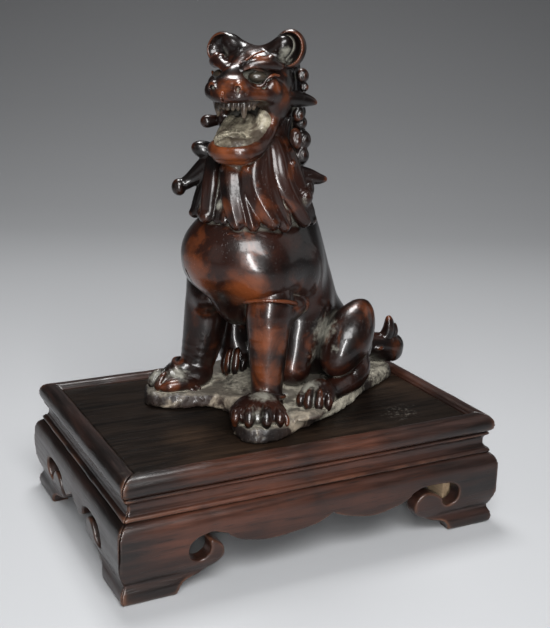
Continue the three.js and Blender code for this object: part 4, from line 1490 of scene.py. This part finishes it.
def makeManeClay():
    shape = maneShape
    clay = Clay((-46, -44, 88), (42, 44, 186), shape["voxel"])
    core = [(-5, 0, 138, 14.5), (-4, 0, 124, 18.4), (-3, 0, 112, 22.4), (-3, 0, 103, 25.5)]
    clay.strand(core, 0, False, 4)
    for root, middle, hem, rise, thick, knob in shape["locks"]:
        rows = []
        sweep = curveThrough([(root,), (middle,), (hem,)], 4)[:, 0]
        for share, azimuth in zip(np.linspace(0, 1, len(sweep)), sweep):
            x, y, z = manePoint(azimuth, share, -1.8 + 1.2 * share)
            swell = 0.62 + 0.55 * math.sin(math.pi * min(share * 0.72 + 0.14, 1))
            rows.append((x, y, z + rise * share, thick * swell))
        clay.strand(rows, 0.5, False, 3)
        ways = [(math.cos(a), math.sin(a)) for a in np.radians(sweep)]
        for lean in (-0.55, 0.55):
            wing = [(x - lean * r * s, y + lean * r * c, z + 0.8, 0.72 * r)
                    for (x, y, z, r), (c, s) in zip(rows, ways)]
            clay.strand(wing, 0.4, False, 3)
        crest = [(x + 0.86 * r * c, y + 0.86 * r * s, z, 0.7) for (x, y, z, r), (c, s) in zip(rows, ways)]
        clay.strand(crest, 1.2, False, 3)
        if knob:
            x, y, z = manePoint(hem, 1.0, 0.4)
            clay.ball((x, y, z + rise), (knob, knob, knob * 0.95), (0, 0, hem), 0.6)
    shake = np.random.default_rng(9)
    for i in range(shape["underLocks"]):
        azimuth = i * 360 / shape["underLocks"] + shake.uniform(-3.5, 3.5)
        sway = shake.uniform(-5, 5)
        rows = []
        for share in np.linspace(0.02, 0.97, 6):
            x, y, z = manePoint(azimuth + sway * math.sin(5 * share), share, -4.2 + 1.2 * share)
            rows.append((x, y, z, 1.7 + 1.2 * share))
        clay.strand(rows, 0.3, False, 3)
    for x, y, z, r, tall in shape["curls"]:
        for side in (-1, 1):
            clay.ball((x, side * y, z), (r, r * 0.95, r * tall), (side * 14, 0, 0), 0.5)
            curl = [(x + 0.1 * r, side * (y + 0.7 * r), z + 0.8 * r, 0.25),
                    (x + 0.75 * r, side * (y + 0.6 * r), z + 0.25 * r, 0.45),
                    (x + 0.55 * r, side * (y + 0.75 * r), z - 0.45 * r, 0.3)]
            clay.strand(curl, 0.5, True, 4)
    clay.limb((-13, 0, 171), 8, (-14, 0, 116), 12, 3)
    for side in (-1, 1):
        for tuft in ([(-8, 15, 157, 4.4), (-15, 17.8, 156.2, 3.6), (-19.4, 20.4, 155.4, 2.3),
                      (-21.8, 21.8, 154.6, 1.1)],
                     [(-14, 18, 120, 4.6), (-19.5, 21.4, 118.6, 3.8), (-23, 24.4, 117.6, 2.6),
                      (-25.4, 26.6, 117.4, 1.4)]):
            clay.strand(mirrored(tuft, side), 0.6)
        clay.ball((-6.8, side * 21.6, 126.4), (1.7, 1.7, 1.7), (0, 0, 0), 0.3)
    clay.strand([(9, -12, 128, 6.0), (14, -17, 121, 5.6), (20, -21.5, 115.6, 3.4),
                 (23.4, -23.4, 113.2, 2.8)], 1.0)
    clay.ball((25.6, -24.6, 112.0), (3.7, 3.7, 4.3), (0, 0, 0), 0.5)
    clay.strand([(10, -14, 128, 4.4), (15.0, -17.4, 130.2, 4.4), (17.4, -18.8, 131.2, 3.4),
                 (18.6, -19.6, 131.8, 2.2)], 0.6)
    clay.strand([(8, -12, 145, 2.2), (13, -15.2, 144.6, 2.8), (15, -16.4, 144.2, 3.0)], 0.6)
    clay.roughen(5, 0.14, 71)
    return clay


def lionSpots():
    # where bloom lies and where hands have rubbed the patina, in the lion's mm
    turn = np.array(headToLion())

    def ofHead(rows):
        return [(*(turn[:3, :3] @ np.array(row[:3]) + turn[:3, 3]), *row[3:]) for row in rows]

    bloom = [(24, 3, 107, 4, 0.5), (23, -12, 106, 5, 0.55), (2, 29, 103, 4, 0.4), (-8, 28, 108, 4, 0.4),
             (-25, 29, 40, 11, 0.55), (-20, 28, 28, 9, 0.4), (-20, 4, 27, 18, 1.0), (24, 34, 15, 8, 0.8),
             (-5, 38, 15, 8, 0.7), (30, -21, 16, 8, 0.5), (36, -30, 13, 8, 0.46), (-12, -18, 12, 9, 0.6),
             (-22, 41, 33, 4, 0.34), (-9, 31, 52, 4, 0.4), (34, 40, 11, 9, 0.42), (-2, 44, 10, 7, 0.42)]
    rub = [(24, 20, 66, 15, 1.0), (31, -4, 70, 16, 0.9), (17, 31, 44, 14, 0.75),
           (18, 30, 28, 12, 0.8), (-44, 40, 45, 12, 0.6), (-34, 46, 34, 8, 0.4), (-10, 22, 22, 8, 0.7),
           (-11, 29, 56, 4, 0.9), (-90, 28, 17, 9, 0.5), (25, -12, 105, 6, 0.8), (27, 8, 106, 6, 0.7),
           (16, 24, 104, 5, 0.5), (10, -30, 40, 12, 0.4), (34, -20, 11, 5, 0.8), (12, 27, 101, 4, 0.6)]
    bloom += ofHead([(3, 18, 19, 5, 0.8), (4, -18, 18, 5.5, 0.8), (19.5, 0, 11.4, 3.0, 0.5),
                     (31.8, 7, 3.4, 1.6, 0.5), (13, 16, 9.5, 2.2, 0.3)])
    rub += ofHead([(29, 3, -26, 14, 1.0), (28, 2, 5, 8, 0.8), (15, 10, 17.5, 6, 1.0),
                   (14, -10, 17.5, 6, 0.8), (13, 17, 5, 4, 1.0), (22, 12, 2, 6, 0.7), (5, 17, 0, 8, 0.5),
                   (12, 14, -10, 6, 0.6)])
    return {"bloom": bloom, "rub": rub}


slabSpots = {      # the crust on the slab, thickest round the left hind paw
    "bloom": [(-4, 2, 8, 26, 0.55), (-40, 48, 8, 18, 0.85), (-70, 28, 8, 20, 0.5), (-12, 54, 5, 13, 1.0),
              (-24, 50, 5, 12, 1.0), (-50, -10, 8, 40, 0.4), (12, 44, 8, 9, 0.4)],
    "rub": [],
}


def makeLion(finishes):
    toWorld = lionToWorld()
    bronze, slab, eye = finishes["bronze"], finishes["slab"], finishes["eye"]
    tongue, tooth = finishes["tongue"], finishes["tooth"]
    rows = [
        ("lionTorso", makeTorsoClay(), "torso", bronze, "bronze"),
        ("lionHead", makeHeadClay(), "head", bronze, "bronze"),
        ("lionMane", makeManeClay(), "mane", bronze, "bronze"),
        ("lionTail", makeTailClay(), "tail", bronze, "bronze"),
        ("forelegLeft", makeLeftForeleg(), "foreleg_left", bronze, "bronze"),
        ("forelegRight", makeRightForeleg(), "foreleg_right", bronze, "bronze"),
        ("hindLegLeft", makeLeftHindLeg(), "hind_leg_left", bronze, "bronze"),
        ("hindLegRight", makeRightHindLeg(), "hind_leg_right", bronze, "bronze"),
        ("baseSlab", makeSlabClay(), "base_slab", slab, "dusty_bronze"),
        ("earLeft", makeEarClay(1), "ear_left", bronze, "bronze"),
        ("earRight", makeEarClay(-1), "ear_right", bronze, "bronze"),
        ("eyeLeft", makeEyeClay(1), "eye_left", eye, "eye"),
        ("eyeRight", makeEyeClay(-1), "eye_right", eye, "eye"),
        ("tongue", makeTongueClay(), "tongue", tongue, "dusty_bronze"),
        ("upperTeeth", toothClay("upper"), "upper_teeth", tooth, "dusty_bronze"),
        ("lowerTeeth", toothClay("lower"), "lower_teeth", tooth, "dusty_bronze"),
    ]
    print("lion modelled")
    spots = lionSpots()
    clays = [row[1] for row in rows]
    around = Surroundings(clays, (-106, -60, -8), (58, 64, 196), 1.0, (1, 3, 8))
    for name, clay, node, finish, slot in rows:
        patches = slabSpots if name == "baseSlab" else spots
        makePiece(name, clay, toWorld, "lion", [node], around, finish, patches)
    print("lion made")


makeCamera(cameraSetup)
makeFloor(studio)
makeLights(studio)
finishes = makeFinishes()
makeStand(finishes)
makeLion(finishes)
